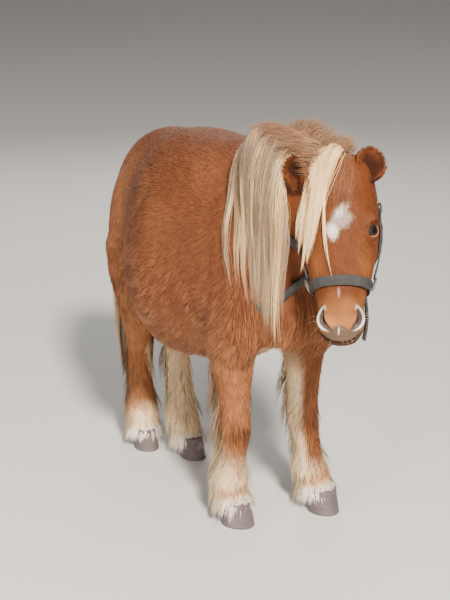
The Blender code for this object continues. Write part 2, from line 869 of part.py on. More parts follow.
def drape(surface, start, direction, length, clearance, steps):
    """A line of points that leaves along a direction, falls with its weight and stays off the body."""
    points = [start]
    heading = direction.normalized()
    for _ in range(steps):
        place = surface.kept_off(points[-1] + heading * length / steps, clearance)
        heading = (place - points[-1]).normalized()
        points.append(place)
        heading = (heading * 0.62 - UP * 0.55).normalized()
    return points


def hang(surface, start, rise, low, tip, clearance, steps, sway, phase):
    """A line of points along a curve with two handles, which sways a little and stays off the body."""
    points = [start]
    for step in range(1, steps + 1):
        share = step / steps
        left = 1 - share
        place = start * left ** 3 + rise * 3 * left ** 2 * share
        place += low * 3 * left * share ** 2 + tip * share ** 3
        aside = Vector((0.4, -1, 0)) * sway * share * math.sin(phase + 7 * share)
        points.append(surface.kept_off(place + aside, clearance))
    return points


def lock(surface, points, width, thickness):
    """A flat lock along a line: flat below, ridged above, full near its root and fine at its tip."""
    rings = []
    last = len(points) - 1
    for index, point in enumerate(points):
        share = index / last
        along = (points[min(index + 1, last)] - points[max(index - 1, 0)]).normalized()
        out = surface.height(point)[1]
        across = along.cross(out).normalized()
        out = across.cross(along)
        half = 0.5 * width * (0.55 + 0.45 * math.sin(math.pi * min(share / 0.4, 1) / 2))
        half *= math.sqrt(1.0 - 0.985 * share ** 1.6)
        rise = thickness * (1 - 0.85 * share)
        rings.append([point - across * half, point + across * half, point + out * rise])
    return loft("lock", rings)


def crest_point(surface, share):
    """A point of the crest, from between the ears to the withers."""
    x = 0.012 * (1 - share)
    y = -0.500 + 0.310 * share
    return surface.seen_from(Vector((x, y, 1.2)), Vector((x, y, 0.5)))[0]


MANE_CORE_RISES = (0.008, 0.024, 0.024, 0.016, 0.008)


def mane_core(surface):
    """The dense roots of the mane, which reach less than half way to its ends."""
    inner, outer = [], []
    for index in range(7):
        share = 0.10 + 0.78 * index / 6
        start = crest_point(surface, share) + LEFT * 0.024
        line = drape(surface, start, Vector((-1, -0.2, 0)), 0.14 - 0.06 * share, 0.003, 4)
        inner.append(line)
        outer.append([p + surface.height(p + UP * 0.03)[1] * rise for p, rise in zip(line, MANE_CORE_RISES)])
    return sheet("mane", inner, outer, FLAXEN)


MANE_LOCKS = 16
SHORT_MANE_LOCKS = 5  # on the left of the crest
SHORT_MANE_WIDTH = 0.072
MANE_RISE = Vector((-0.085, -0.015, 0.120))
MANE_FRONT_TIP = Vector((-0.100, -0.478, 0.490))
MANE_REAR_TIP = Vector((-0.140, -0.385, 0.600))
MANE_LOCK_THICKNESS = 0.011
POLL_LOCK_TIP = Vector((-0.066, -0.452, 0.800))  # behind the right ear
POLL_LOCK_WIDTH = 0.046


def mane_locks(surface, draw):
    """Two layers of long locks on the right of the neck and one of short ones on its left."""
    locks = []
    for index in range(MANE_LOCKS):
        share = index / (MANE_LOCKS - 1)
        upper = index % 2
        start = crest_point(surface, 0.15 + 0.85 * share) + Vector((0.004 + 0.012 * upper, 0, 0.002))
        rise = start + MANE_RISE * (1 - 0.35 * share) + Vector((0, 0.02 - 0.09 * share, 0.02 * upper))
        tip = MANE_FRONT_TIP.lerp(MANE_REAR_TIP, share)
        tip += Vector((draw.uniform(-0.012, 0.004), draw.uniform(-0.008, 0.008), draw.uniform(0.0, 0.10)))
        low = tip + Vector((0.012, 0.045 * share - 0.015, 0.22))
        clearance = 0.008 + 0.010 * upper + 0.0037 * share
        points = hang(surface, start, rise, low, tip, clearance, 6, 0.010, 0.5 * index)
        locks.append(lock(surface, points, draw.uniform(0.042, 0.052), draw.uniform(0.010, 0.012)))
    for share in (0.01, 0.09):
        start = crest_point(surface, share) + UP * 0.002
        rise = start + Vector((-0.010, 0.004, 0.085))
        tip = POLL_LOCK_TIP + Vector((0.3, 0.1, -0.2)) * share
        low = tip + Vector((0.020, 0, 0.075))
        points = hang(surface, start, rise, low, tip, 0.010 + 0.08 * share, 5, 0, 0)
        locks.append(lock(surface, points, POLL_LOCK_WIDTH, MANE_LOCK_THICKNESS))
    for index in range(SHORT_MANE_LOCKS):
        share = 0.16 + 0.72 * index / (SHORT_MANE_LOCKS - 1)
        start = crest_point(surface, share) + Vector((-0.004, 0, 0.010))
        heading = Vector((0.8, draw.uniform(-0.4, 0.0), 0.25))
        points = drape(surface, start, heading, draw.uniform(0.08, 0.11), 0.005 + 0.0023 * share, 3)
        locks.append(lock(surface, points, SHORT_MANE_WIDTH, MANE_LOCK_THICKNESS))
    return locks


HAIR_PARTING = -0.506  # the place along the body where the mane gives way to the forelock

# Where the locks of the forelock end on the head: start's left, tip's down, left and out, width.
FORELOCK_LOCKS = (
    (0.026, 0.165, -0.030, 0.014, 0.030),
    (0.018, 0.200, -0.046, 0.010, 0.030),
    (0.010, 0.235, -0.058, 0.004, 0.030),
    (-0.004, 0.268, 0.000, 0.012, 0.012),
    (0.000, 0.215, -0.066, 0.000, 0.032),
    (-0.008, 0.245, -0.074, -0.006, 0.030),
    (-0.016, 0.195, -0.080, -0.012, 0.032),
    (-0.022, 0.225, -0.088, -0.024, 0.028),
)


def forelock_locks(surface):
    """From between the ears, up and over, and down the right of the forehead."""
    locks = []
    for index, (left, down, tip_left, out, width) in enumerate(FORELOCK_LOCKS):
        start = on_head(-0.008 + 0.014 * (index % 2), left, -0.016)
        rise = start + UP * 0.100 + FACE_FORWARD * 0.055 - FACE_LEFT * 0.010
        tip = on_head(down, tip_left, out)
        low = tip - DOWN_FACE * 0.11 + OUT_OF_FACE * 0.012 + FACE_LEFT * 0.012
        clearance = 0.006 + 0.007 * (index % 2) + 0.0004 * index
        points = hang(surface, start, rise, low, tip, clearance, 6, 0.004, 0.5 * index)
        locks.append(lock(surface, points, width, 0.008))
    return locks


def forelock_core():
    """The roots of the forelock, a dome that stands between the ears."""
    made = ellipsoid("forelock", on_head(0.000, 0.000, -0.012), BODY_AXES, (0.028, 0.028, 0.034), 10, 6)
    made.data.materials.append(FLAXEN)
    return made


# The tail. Each station of its whole outline: y, z, half width, half depth.
TAIL_STATIONS = (
    (0.370, 0.745, 0.022, 0.022),
    (0.412, 0.705, 0.032, 0.026),
    (0.428, 0.600, 0.046, 0.034),
    (0.428, 0.480, 0.056, 0.040),
    (0.424, 0.340, 0.060, 0.042),
    (0.418, 0.200, 0.052, 0.038),
    (0.412, 0.100, 0.036, 0.028),
    (0.408, 0.035, 0.010, 0.010),
)
DOCK_SHARE = 0.45
TAIL_LOCKS = 12


def tail_place(share, angle, reach):
    y, z, half, depth = between(TAIL_STATIONS, share)
    return Vector((half * reach * math.cos(angle), y + depth * reach * math.sin(angle), z))


def tail_core():
    """The dock and the dense hair on it, down to less than half of the tail."""
    rings = []
    for step in range(8):
        share = DOCK_SHARE * step / 7
        shrink = 0.80 - 0.55 * (step / 7) ** 2
        rings.append([tail_place(share, 2 * math.pi * k / 10, shrink) for k in range(10)])
    return loft("tail", rings, FLAXEN)


def tail_locks(draw):
    locks = []
    for index in range(TAIL_LOCKS):
        top = 0.10 + 0.26 * ((index * 0.618034) % 1)
        end = min(top + draw.uniform(0.50, 0.66), draw.uniform(0.88, 0.985))
        angle = 2 * math.pi * index * 0.381966
        points = []
        for step in range(6):
            share = top + (end - top) * step / 5
            reach = 0.45 + 0.50 * math.sin(math.pi * min(step / 5 / 0.5, 1) / 2)
            points.append(tail_place(share, angle + 0.25 * math.sin(3 * share + 0.5 * index), reach))
        away = Vector((math.cos(angle), math.sin(angle), 0))
        locks.append(free_lock(points, away, draw.uniform(0.038, 0.048), draw.uniform(0.009, 0.012)))
    return locks


def free_lock(points, out, width, thickness):
    """A lock that hangs clear, with its flat side turned one way."""
    rings = []
    last = len(points) - 1
    for index, point in enumerate(points):
        share = index / last
        along = (points[min(index + 1, last)] - points[max(index - 1, 0)]).normalized()
        across = along.cross(out).normalized()
        half = 0.5 * width * math.sin(math.pi * (0.25 + 0.25 * min(share / 0.4, 1)))
        half *= math.sqrt(1.0 - 0.985 * share ** 1.6)
        rise = thickness * (1 - 0.85 * share)
        rings.append([point - across * half, point + across * half, point + across.cross(along) * rise])
    return loft("lock", rings)


# Feathering behind the legs, and the ragged edge of the winter coat below the body.

FORE_FEATHERS = 7
HIND_FEATHERS = 5
FEATHER_LIFTS = (-0.007, 0.012, 0.018, 0.019)


def feather_locks(surface, name, draw):
    """Locks that leave the back of a leg and lie down along it, over the fetlock."""
    side, forward = leg_directions(name)
    fore = name.startswith("fore")
    count = FORE_FEATHERS if fore else HIND_FEATHERS
    top, foot = (0.360, 0.120) if fore else (0.235, 0.110)
    locks = []
    for index in range(count):
        height = top + (foot - top) * index / (count - 1)
        swing = (-0.65, 0.05, 0.60)[index % 3]
        back = -forward * math.cos(swing) + side * math.sin(swing)
        drop = min(draw.uniform(0.085, 0.125), height - 0.026)
        points = []
        for step, lift in enumerate(FEATHER_LIFTS):
            low = height - drop * step / (len(FEATHER_LIFTS) - 1)
            centre = leg_centre(name, max(low, CORONET_HEIGHT + 0.006))
            skin = surface.seen_from(centre + back * 0.12, centre)[0]
            points.append(Vector((skin.x, skin.y, low)) + back * lift)
        locks.append(free_lock(points, back, draw.uniform(0.036, 0.044), draw.uniform(0.008, 0.010)))
    return locks


# Where the long coat hangs from the body: start and end of each line as (x, y), how many locks.
FRINGES = (
    ((-0.060, -0.190), (-0.075, 0.100), 6),
    ((0.060, -0.190), (0.075, 0.100), 6),
    ((-0.050, -0.405), (0.050, -0.405), 3),
)


def fringe_locks(surface, draw):
    """Short locks below the belly and the breast, which lie back along the body."""
    locks = []
    for start, end, count in FRINGES:
        run = (Vector((*end, 0)) - Vector((*start, 0))).normalized()
        for index in range(count):
            share = (index + draw.uniform(-0.25, 0.25)) / (count - 1)
            x, y = (a + (b - a) * share for a, b in zip(start, end))
            root = surface.seen_from(Vector((x, y, 0.1)), Vector((x, y, 0.8)))[0] + UP * 0.014
            heading = Vector((draw.uniform(-0.10, 0.10), 0.7, -0.7))
            points = [root + heading * 0.030 * i - UP * 0.0040 * i * i for i in range(3)]
            locks.append(free_lock(points, run.cross(UP), draw.uniform(0.056, 0.064), 0.009))
    return locks


# Parting the flesh into its named nodes.


def slab(name, centre, normal, along, width, length, thickness=GAP):
    """A thin plate that parts what it crosses."""
    across = normal.cross(along).normalized()
    along = across.cross(normal).normalized()
    shape = bmesh.new()
    bmesh.ops.create_cube(shape, size=1)
    turn = Matrix((across * width, along * length, normal.normalized() * thickness)).transposed()
    for vert in shape.verts:
        vert.co = turn @ vert.co + centre
    return object_from(shape, name)


def parting_slabs():
    """Plates through the poll and throat, the base of the neck, the elbows and the groin."""
    poll, throat = on_head(-0.080, -0.030, -0.086), on_head(0.205, -0.030, -0.149)
    withers, breast = Vector((0, -0.160, 0.880)), Vector((0, -0.475, 0.545))
    half_turned = Vector((math.cos(HEAD_TURN * 0.4), -math.sin(HEAD_TURN * 0.4), 0))
    slabs = []
    for name, top, foot, across, width in (
        ("behind_the_jaw", poll, throat, half_turned, 0.27),
        ("base_of_neck", withers, breast, LEFT, 0.5),
    ):
        run = foot - top
        slabs.append(slab(name, (top + foot) / 2, run.cross(across), run, width, run.length))
    for side in (-1, 1):
        elbow = Vector((side * 0.102, -0.297, 0.384))
        slabs.append(slab("elbow", elbow, Vector((0, 0.2, 1)), LEFT, 0.17, 0.14))
    slabs.append(slab("groin", Vector((0, 0.265, 0.372)), UP, LEFT, 0.25, 0.4))
    return slabs


PART_MIDDLES = {
    "head": on_head(0.19, 0, -0.08),
    "neck": Vector((0.005, -0.37, 0.72)),
    "torso": Vector((0, 0, 0.60)),
    **{name: leg_centre(name, 0.21) for name in LEG_LINES},
}


def parted(flesh):
    """Cuts the flesh with the slabs and names each piece by where it lies."""
    ground = slab("ground", Vector((0, 0, CORONET_HEIGHT / 2 - 0.05)), UP, LEFT, 2, 2, CORONET_HEIGHT + 0.1)
    for cutter in [ground, *parting_slabs()]:
        boolean(flesh, cutter, "DIFFERENCE")
        scrap(cutter)
    pieces = {}
    for name, middle in PART_MIDDLES.items():
        shape = bmesh.new()
        shape.from_mesh(flesh.data)
        groups = [g for g in surfaces_of(shape) if box_middle_and_reach(g)[1] > 0.15]
        wanted = min(groups, key=lambda g: (box_middle_and_reach(g)[0] - middle).length)
        keep_surface(shape, wanted)
        pieces[name] = object_from(shape, name, CHESTNUT)
    scrap(flesh)
    return pieces


# The whole pony.

flesh = flesh_form()
surface = Surface(flesh)
room = grown(flesh, GAP)

ears = [ear(side, "ear_" + word, room) for side, word in ((-1, "right"), (1, "left"))]
halter_pieces = halter(surface, room)
draw = random.Random(11)
mane = fused(mane_core(surface), mane_locks(surface, draw))
forelock = fused(forelock_core(), forelock_locks(surface))
tail = fused(tail_core(), tail_locks(draw))
hooves = [hoof(name) for name in LEG_LINES]

feathers = [one for name in LEG_LINES for one in feather_locks(surface, name, draw)]
fused(flesh, feathers + fringe_locks(surface, draw))
for one in hooves:
    clear_of(flesh, one)
nodes = parted(flesh)

for side, word in ((-1, "right"), (1, "left")):
    fused(nodes["head"], [lids(side)])
    eye = eyeball(side, "eye_" + word)
    eye.data.materials.append(EYE_DARK)
    clear_of(nodes["head"], eye)
    nodes["eye_" + word] = eye
for cutter in (nostril_cutter(-1), nostril_cutter(1), mouth_cutter()):
    boolean(nodes["head"], cutter, "DIFFERENCE")
    scrap(cutter)
keep_largest(nodes["head"])

keep_one_side(mane, HAIR_PARTING + GAP, in_front=False)
keep_one_side(forelock, HAIR_PARTING, in_front=True)
for hair, others in ((mane, [*halter_pieces, *ears]), (forelock, [*halter_pieces, *ears]), (tail, [])):
    boolean(hair, room, "DIFFERENCE")
    for other in others:
        clear_of(hair, other)
    keep_largest(hair)
scrap(room)

for made in [*nodes.values(), *ears, *halter_pieces, *hooves, mane, forelock, tail]:
    pulled_apart(made)
    workshop.objects.unlink(made)
    pony.objects.link(made)
    made.location = ORIGIN_SHIFT
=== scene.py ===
# Looks of the Shetland pony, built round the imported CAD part: skin, coat, hair, eyes, hooves, halter.
# Metres, +Z up. The pony faces -Y and its left side is +X.

import math

import bmesh
import bpy
import numpy as np
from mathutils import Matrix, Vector
from mathutils.bvhtree import BVHTree
from mathutils.kdtree import KDTree


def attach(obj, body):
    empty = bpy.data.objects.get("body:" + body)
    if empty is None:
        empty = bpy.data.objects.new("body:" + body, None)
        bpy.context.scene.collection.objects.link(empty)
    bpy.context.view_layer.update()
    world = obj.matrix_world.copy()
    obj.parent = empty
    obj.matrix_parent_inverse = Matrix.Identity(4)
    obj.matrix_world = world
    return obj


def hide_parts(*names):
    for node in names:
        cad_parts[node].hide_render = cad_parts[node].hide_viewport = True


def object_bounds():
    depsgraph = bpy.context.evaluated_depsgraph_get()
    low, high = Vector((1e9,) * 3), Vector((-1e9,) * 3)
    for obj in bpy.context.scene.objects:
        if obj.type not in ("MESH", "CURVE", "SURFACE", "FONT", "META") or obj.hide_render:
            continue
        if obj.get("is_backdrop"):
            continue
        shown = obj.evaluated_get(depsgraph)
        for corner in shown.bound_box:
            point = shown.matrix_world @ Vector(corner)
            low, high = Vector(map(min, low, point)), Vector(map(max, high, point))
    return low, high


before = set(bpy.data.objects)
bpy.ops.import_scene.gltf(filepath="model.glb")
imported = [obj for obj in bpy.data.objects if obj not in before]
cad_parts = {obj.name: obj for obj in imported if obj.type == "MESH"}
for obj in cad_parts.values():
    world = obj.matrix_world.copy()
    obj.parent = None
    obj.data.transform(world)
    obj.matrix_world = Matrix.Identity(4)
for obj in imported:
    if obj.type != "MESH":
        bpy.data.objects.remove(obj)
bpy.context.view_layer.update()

# The skin: the hide over head, neck, body and legs, drawn in one piece over a padded form as in a
# museum. Its surface lies a coat's depth inside the CAD's flesh. Lofts with the CAD's own stations
# are fused by a fine remesh, and its flanks and face are then shaped.

ORIGIN_SHIFT = np.array([0.0, 0.1114, 0.0])  # from the modelling frame to the CAD's, along the back
X, Y, Z = np.eye(3)
HEAD_TURN = math.radians(29.5)
FACE_LEAN = math.radians(30)
FACE_ROLL = math.radians(6)
POLL = np.array([0.016, -0.525, 0.880])
CORONET_HEIGHT = 0.052

FACE_FORWARD = np.array([-math.sin(HEAD_TURN), -math.cos(HEAD_TURN), 0])
DOWN_FACE = FACE_FORWARD * math.sin(FACE_LEAN) - Z * math.cos(FACE_LEAN)
LEVEL_OUT = FACE_FORWARD * math.cos(FACE_LEAN) + Z * math.sin(FACE_LEAN)
LEVEL_LEFT = np.cross(LEVEL_OUT, DOWN_FACE)
OUT_OF_FACE = LEVEL_OUT * math.cos(FACE_ROLL) - LEVEL_LEFT * math.sin(FACE_ROLL)
FACE_LEFT = LEVEL_LEFT * math.cos(FACE_ROLL) + LEVEL_OUT * math.sin(FACE_ROLL)
HEAD_AXES = np.array([FACE_LEFT, DOWN_FACE, OUT_OF_FACE])


def unit(rows):
    """Rows of vectors, each made one long."""
    length = np.linalg.norm(rows, axis=-1, keepdims=True)
    return rows / np.maximum(length, 1e-9)


def smooth(low, high, value):
    """From 0 at low to 1 at high, with soft ends. High may lie below low."""
    share = np.clip((value - low) / (high - low), 0, 1)
    return share * share * (3 - 2 * share)


def on_head(down, left, out):
    """A point in the head's own directions, from the poll."""
    return POLL + DOWN_FACE * down + FACE_LEFT * left + OUT_OF_FACE * out


def head_place(points):
    """How far points lie down the face, to its left and out of it."""
    away = points - POLL
    return away @ DOWN_FACE, away @ FACE_LEFT, away @ OUT_OF_FACE


def between(rows, share):
    """A row of a station table read at a share of its length, on a smooth curve through the rows."""
    rows = np.asarray(rows, float)
    place = share * (len(rows) - 1)
    index = min(int(place), len(rows) - 2)
    part = place - index
    a, b, c = rows[max(index - 1, 0)], rows[index], rows[index + 1]
    d = rows[min(index + 2, len(rows) - 1)]
    bend = 2 * a - 5 * b + 4 * c - d + part * (3 * (b - c) + d - a)
    return b + 0.5 * part * (c - a + part * bend)


def section(centre, side, up, half_width, above, below, count, square=1.0):
    """A closed ring of points, egg-shaped: it reaches further one way than the other."""
    angle = 2 * math.pi * np.arange(count) / count
    c, s = np.cos(angle), np.sin(angle)
    reach = np.where(s > 0, above, below)
    across = np.sign(c) * np.abs(c) ** square * half_width
    along = np.sign(s) * np.abs(s) ** square * reach
    return centre + np.outer(across, side) + np.outer(along, up)


def loft(rings):
    """Points and faces of a closed skin over a row of rings, each end closed to its middle."""
    rings = np.asarray(rings)
    rows, count = rings.shape[:2]
    points = np.vstack([rings.reshape(-1, 3), rings[0].mean(0), rings[-1].mean(0)])
    faces = []
    for row in range(rows - 1):
        for i in range(count):
            a, b = row * count + i, row * count + (i + 1) % count
            faces.append((a, b, b + count, a + count))
    for first, middle in ((0, rows * count), ((rows - 1) * count, rows * count + 1)):
        faces += [(first + i, first + (i + 1) % count, middle) for i in range(count)]
    return points, faces


def ellipsoid(centre, axes, radii, segments=24, rings=16):
    """Points and faces of a sphere stretched along three given directions."""
    rows = []
    for ring in range(rings + 1):
        angle = math.pi * (0.02 + 0.96 * ring / rings)
        around = 2 * math.pi * np.arange(segments) / segments
        unit_ring = np.stack([np.cos(around) * math.sin(angle), np.sin(around) * math.sin(angle),
                              np.full(segments, math.cos(angle))], 1)
        rows.append((unit_ring * radii) @ np.asarray(axes) + centre)
    return loft(rows)


def mesh_object(name, points, faces, material=None):
    """A smooth object from points in the modelling frame, set down in the CAD's frame."""
    mesh = bpy.data.meshes.new(name)
    mesh.from_pydata((np.asarray(points) + ORIGIN_SHIFT).tolist(), [], [tuple(map(int, f)) for f in faces])
    mesh.polygons.foreach_set("use_smooth", [True] * len(mesh.polygons))
    made = bpy.data.objects.new(name, mesh)
    bpy.context.scene.collection.objects.link(made)
    if material:
        mesh.materials.append(material)
    return made


# Each station: place along the back, widest height, reach above it, reach below it, half width.
TORSO_STATIONS = (
    (-0.455, 0.590, 0.050, 0.060, 0.050),
    (-0.436, 0.588, 0.115, 0.125, 0.105),
    (-0.380, 0.588, 0.190, 0.150, 0.150),
    (-0.290, 0.585, 0.250, 0.175, 0.178),
    (-0.190, 0.572, 0.290, 0.205, 0.200),
    (-0.070, 0.558, 0.306, 0.222, 0.232),
    (0.040, 0.556, 0.309, 0.222, 0.212),
    (0.130, 0.572, 0.278, 0.190, 0.168),
    (0.210, 0.604, 0.238, 0.150, 0.140),
    (0.285, 0.618, 0.198, 0.143, 0.116),
    (0.343, 0.620, 0.150, 0.133, 0.096),
    (0.385, 0.620, 0.095, 0.090, 0.066),
    (0.405, 0.620, 0.040, 0.040, 0.030),
)
# Each station: centre x, y, z, half width, reach above and reach below.
NECK_STATIONS = (
    (0.000, -0.255, 0.665, 0.140, 0.185, 0.210),
    (0.002, -0.330, 0.705, 0.128, 0.182, 0.190),
    (0.004, -0.395, 0.745, 0.108, 0.165, 0.160),
    (0.008, -0.450, 0.780, 0.088, 0.126, 0.130),
    (0.014, -0.500, 0.800, 0.070, 0.078, 0.105),
)
NECK_RING_UP = unit(np.array([0, 0.42, 0.91]))
# Each station: distance down the face, how far the profile stands out, depth to the jaw, half width.
HEAD_STATIONS = (
    (-0.025, -0.034, 0.060, 0.042),
    (0.000, -0.008, 0.120, 0.062),
    (0.045, 0.008, 0.158, 0.075),
    (0.095, 0.018, 0.180, 0.082),
    (0.145, 0.015, 0.180, 0.080),
    (0.190, 0.008, 0.158, 0.079),
    (0.235, 0.003, 0.128, 0.068),
    (0.275, 0.001, 0.108, 0.056),
    (0.315, 0.001, 0.096, 0.049),
    (0.350, -0.004, 0.082, 0.044),
    (0.375, -0.018, 0.055, 0.033),
    (0.385, -0.034, 0.018, 0.014),
)
# Each station of a leg: height, half width, reach forward and back, from the body to the coronet.
FORE_LEG = ((0.520, 0.070, 0.080, 0.085), (0.430, 0.058, 0.064, 0.070), (0.345, 0.044, 0.044, 0.046),
            (0.270, 0.037, 0.037, 0.036), (0.235, 0.036, 0.036, 0.034), (0.185, 0.028, 0.028, 0.031),
            (0.140, 0.027, 0.027, 0.031), (0.100, 0.034, 0.032, 0.038), (0.075, 0.031, 0.030, 0.034),
            (CORONET_HEIGHT, 0.037, 0.037, 0.036))
HIND_LEG = ((0.560, 0.075, 0.110, 0.105), (0.460, 0.070, 0.095, 0.085), (0.375, 0.052, 0.062, 0.056),
            (0.300, 0.036, 0.040, 0.044), (0.258, 0.032, 0.034, 0.046), (0.205, 0.027, 0.030, 0.032),
            (0.145, 0.026, 0.027, 0.030), (0.098, 0.032, 0.031, 0.036), (0.073, 0.030, 0.029, 0.032),
            (CORONET_HEIGHT, 0.035, 0.035, 0.034))
# Where each leg's middle runs, as (x, y) at its top, knee or hock, fetlock, and hoof on the ground.
LEG_LINES = {
    "foreleg_right": ((-0.098, -0.275), (-0.090, -0.288), (-0.091, -0.272), (-0.091, -0.290)),
    "foreleg_left": ((0.098, -0.275), (0.090, -0.288), (0.110, -0.296), (0.124, -0.322)),
    "hindleg_right": ((-0.088, 0.235), (-0.052, 0.288), (-0.060, 0.258), (-0.065, 0.236)),
    "hindleg_left": ((0.084, 0.235), (0.032, 0.235), (0.010, 0.158), (0.010, 0.122)),
}
TOE_TURN = {"foreleg_right": 8, "foreleg_left": -6, "hindleg_right": -4, "hindleg_left": 6}  # degrees


def leg_rows(name):
    return FORE_LEG if name.startswith("fore") else HIND_LEG


def leg_centre(name, height):
    """Middle of a leg at a height or heights, on straight bones between its joints."""
    rows, line = leg_rows(name), np.array(LEG_LINES[name])
    levels = [0.0, rows[7][0], rows[4][0], rows[0][0]]
    height = np.asarray(height, float)
    x = np.interp(height, levels, line[::-1, 0])
    y = np.interp(height, levels, line[::-1, 1])
    return np.stack([x, y, height], -1)


def leg_directions(name):
    """The leg's own left and forward, from where its toe points."""
    turn = math.radians(TOE_TURN[name])
    return np.array([math.cos(turn), math.sin(turn), 0]), np.array([math.sin(turn), -math.cos(turn), 0])


SKIN_VOXEL = 0.0052
JOIN_SOFTENING = 14  # rounds of smoothing where the fused forms meet


def body_forms():
    """The lofts and stretched balls that the body is fused from."""
    forms = []
    rings = []
    for s in np.linspace(0, 1, 40):
        y, z, above, below, half = between(TORSO_STATIONS, s)
        rings.append(section(np.array([0, y, z]), X, Z, half, above, below, 48, 0.94))
    forms.append(loft(rings))
    rings = []
    for s in np.linspace(0, 1, 16):
        x, y, z, half, above, below = between(NECK_STATIONS, s)
        rings.append(section(np.array([x, y, z]), X, NECK_RING_UP, half, above, below, 40, 0.92))
    forms.append(loft(rings))
    rings = []
    for s in np.linspace(0, 1, 50):
        down, out, depth, half = between(HEAD_STATIONS, s)
        centre = on_head(down, 0, out - depth * 0.46)
        rings.append(section(centre, FACE_LEFT, OUT_OF_FACE, half, depth * 0.46, depth * 0.54, 40, 0.86))
    forms.append(loft(rings))
    for name in LEG_LINES:
        side, forward = leg_directions(name)
        rings = []
        for s in np.linspace(0, 1, 34):
            height, half, front, back = between(leg_rows(name), s)
            rings.append(section(leg_centre(name, height), side, forward, half, front, back, 28))
        rings.append(rings[-1] - Z * 0.012)
        forms.append(loft(rings))
    for side in (-1, 1):
        forms += [
            ellipsoid(on_head(0.140, side * 0.048, -0.096), HEAD_AXES, (0.038, 0.080, 0.064)),
            ellipsoid(on_head(0.128, side * 0.064, -0.020), HEAD_AXES, (0.019, 0.034, 0.022)),
            ellipsoid(on_head(0.195, side * 0.052, -0.048), HEAD_AXES, (0.014, 0.060, 0.016)),
            ellipsoid(on_head(0.336, side * 0.030, -0.020), HEAD_AXES, (0.019, 0.026, 0.022)),
            ellipsoid(np.array([side * 0.104, -0.285, 0.585]), np.eye(3), (0.072, 0.150, 0.200)),
            ellipsoid(np.array([side * 0.100, -0.285, 0.475]), np.eye(3), (0.068, 0.098, 0.095)),
            ellipsoid(np.array([side * 0.073, 0.228, 0.560]), np.eye(3), (0.076, 0.128, 0.205)),
            ellipsoid(np.array([side * 0.088, 0.195, 0.480]), np.eye(3), (0.062, 0.100, 0.110)),
        ]
    forms += [
        ellipsoid(on_head(0.362, 0, -0.030), HEAD_AXES, (0.036, 0.024, 0.028)),
        ellipsoid(on_head(0.345, 0, -0.078), HEAD_AXES, (0.029, 0.034, 0.020)),
        ellipsoid(np.array([0, -0.390, 0.545]), np.eye(3), (0.120, 0.076, 0.095)),
    ]
    return forms


def fused_body():
    """The forms as one closed surface, softened where they meet."""
    points, faces, start = [], [], 0
    for some_points, some_faces in body_forms():
        points.append(some_points)
        faces += [tuple(i + start for i in face) for face in some_faces]
        start += len(some_points)
    made = mesh_object("skin", np.vstack(points), faces)
    remesh = made.modifiers.new("fuse", "REMESH")
    remesh.mode = "VOXEL"
    remesh.voxel_size = SKIN_VOXEL
    remesh.use_smooth_shade = True
    soften = made.modifiers.new("soften", "SMOOTH")
    soften.iterations = JOIN_SOFTENING
    soften.factor = 0.5
    bpy.context.view_layer.update()
    graph = bpy.context.evaluated_depsgraph_get()
    fused = bpy.data.meshes.new_from_object(made.evaluated_get(graph))
    made.modifiers.clear()
    made.data = fused
    return made


def places_of(made):
    """The object's points in the modelling frame, and its normals."""
    count = len(made.data.vertices)
    points, normals = np.empty(count * 3), np.empty(count * 3)
    made.data.vertices.foreach_get("co", points)
    made.data.vertices.foreach_get("normal", normals)
    return points.reshape(-1, 3) - ORIGIN_SHIFT, normals.reshape(-1, 3)


def set_places(made, points):
    made.data.vertices.foreach_set("co", (points + ORIGIN_SHIFT).astype(np.float32).ravel())
    made.data.update()


def head_share(points):
    """1 on the head and 0 on the rest, parted behind the cheeks."""
    down, left, out = head_place(points)
    front = out + 0.100 + 0.221 * (down + 0.08)
    return smooth(-0.025, 0.015, front) * smooth(0.46, 0.42, down) * smooth(0.19, 0.15, np.abs(left))


def leg_share(points):
    """1 on the legs and 0 on the body."""
    return smooth(0.42, 0.34, points[:, 2])


def coat_depth(points):
    """How far the coat's outline stands off the skin."""
    down, _, _ = head_place(points)
    on_face = head_share(points)
    depth = 0.0075 - 0.0055 * smooth(0.60, 0.80, points[:, 2]) - 0.0025 * leg_share(points)
    face_depth = 0.0032 - 0.0024 * smooth(0.28, 0.34, down)
    return depth * (1 - on_face) + face_depth * on_face


# Eye sockets, nostrils, mouth and the hollows between the bones, pressed into the fused skin. Side is
# -1 on the pony's right and 1 on its left. The balls and lids are set into the sockets later.

EYE_RADIUS = 0.0175
EYE_DOWN, EYE_ASIDE, EYE_OUT = 0.152, 0.0600, -0.025
SOCKET_EDGE, SOCKET_FLOOR = 0.0225, 0.0165  # distances from its middle


def eye_centre(side):
    return on_head(EYE_DOWN, side * EYE_ASIDE, EYE_OUT)


def eye_directions(side):
    """Out of the eye, towards its inner corner, and up."""
    out = unit(FACE_LEFT * side + OUT_OF_FACE * 1.05)
    front = DOWN_FACE * 0.9 + OUT_OF_FACE * 0.5 - FACE_LEFT * side * 0.4
    front = unit(front - out * (front @ out))
    up = np.cross(out, front)
    return out, front, up * math.copysign(1, up[2])


NOSTRIL_DOWN, NOSTRIL_ASIDE, NOSTRIL_OUT = 0.338, 0.0335, -0.010
NOSTRIL_LENGTH = 0.0235  # half of its long slit
NOSTRIL_WIDTH = 0.0072
NOSTRIL_CURVE = 9.0  # how much the slit bends round the muzzle
NOSTRIL_DEPTH = 0.0095
NOSTRIL_REGION_LENGTH, NOSTRIL_REGION_DEPTH = 0.05, 0.024  # how far from its middle it is felt
RIM_WIDTH, RIM_HEIGHT = 0.0060, 0.0026


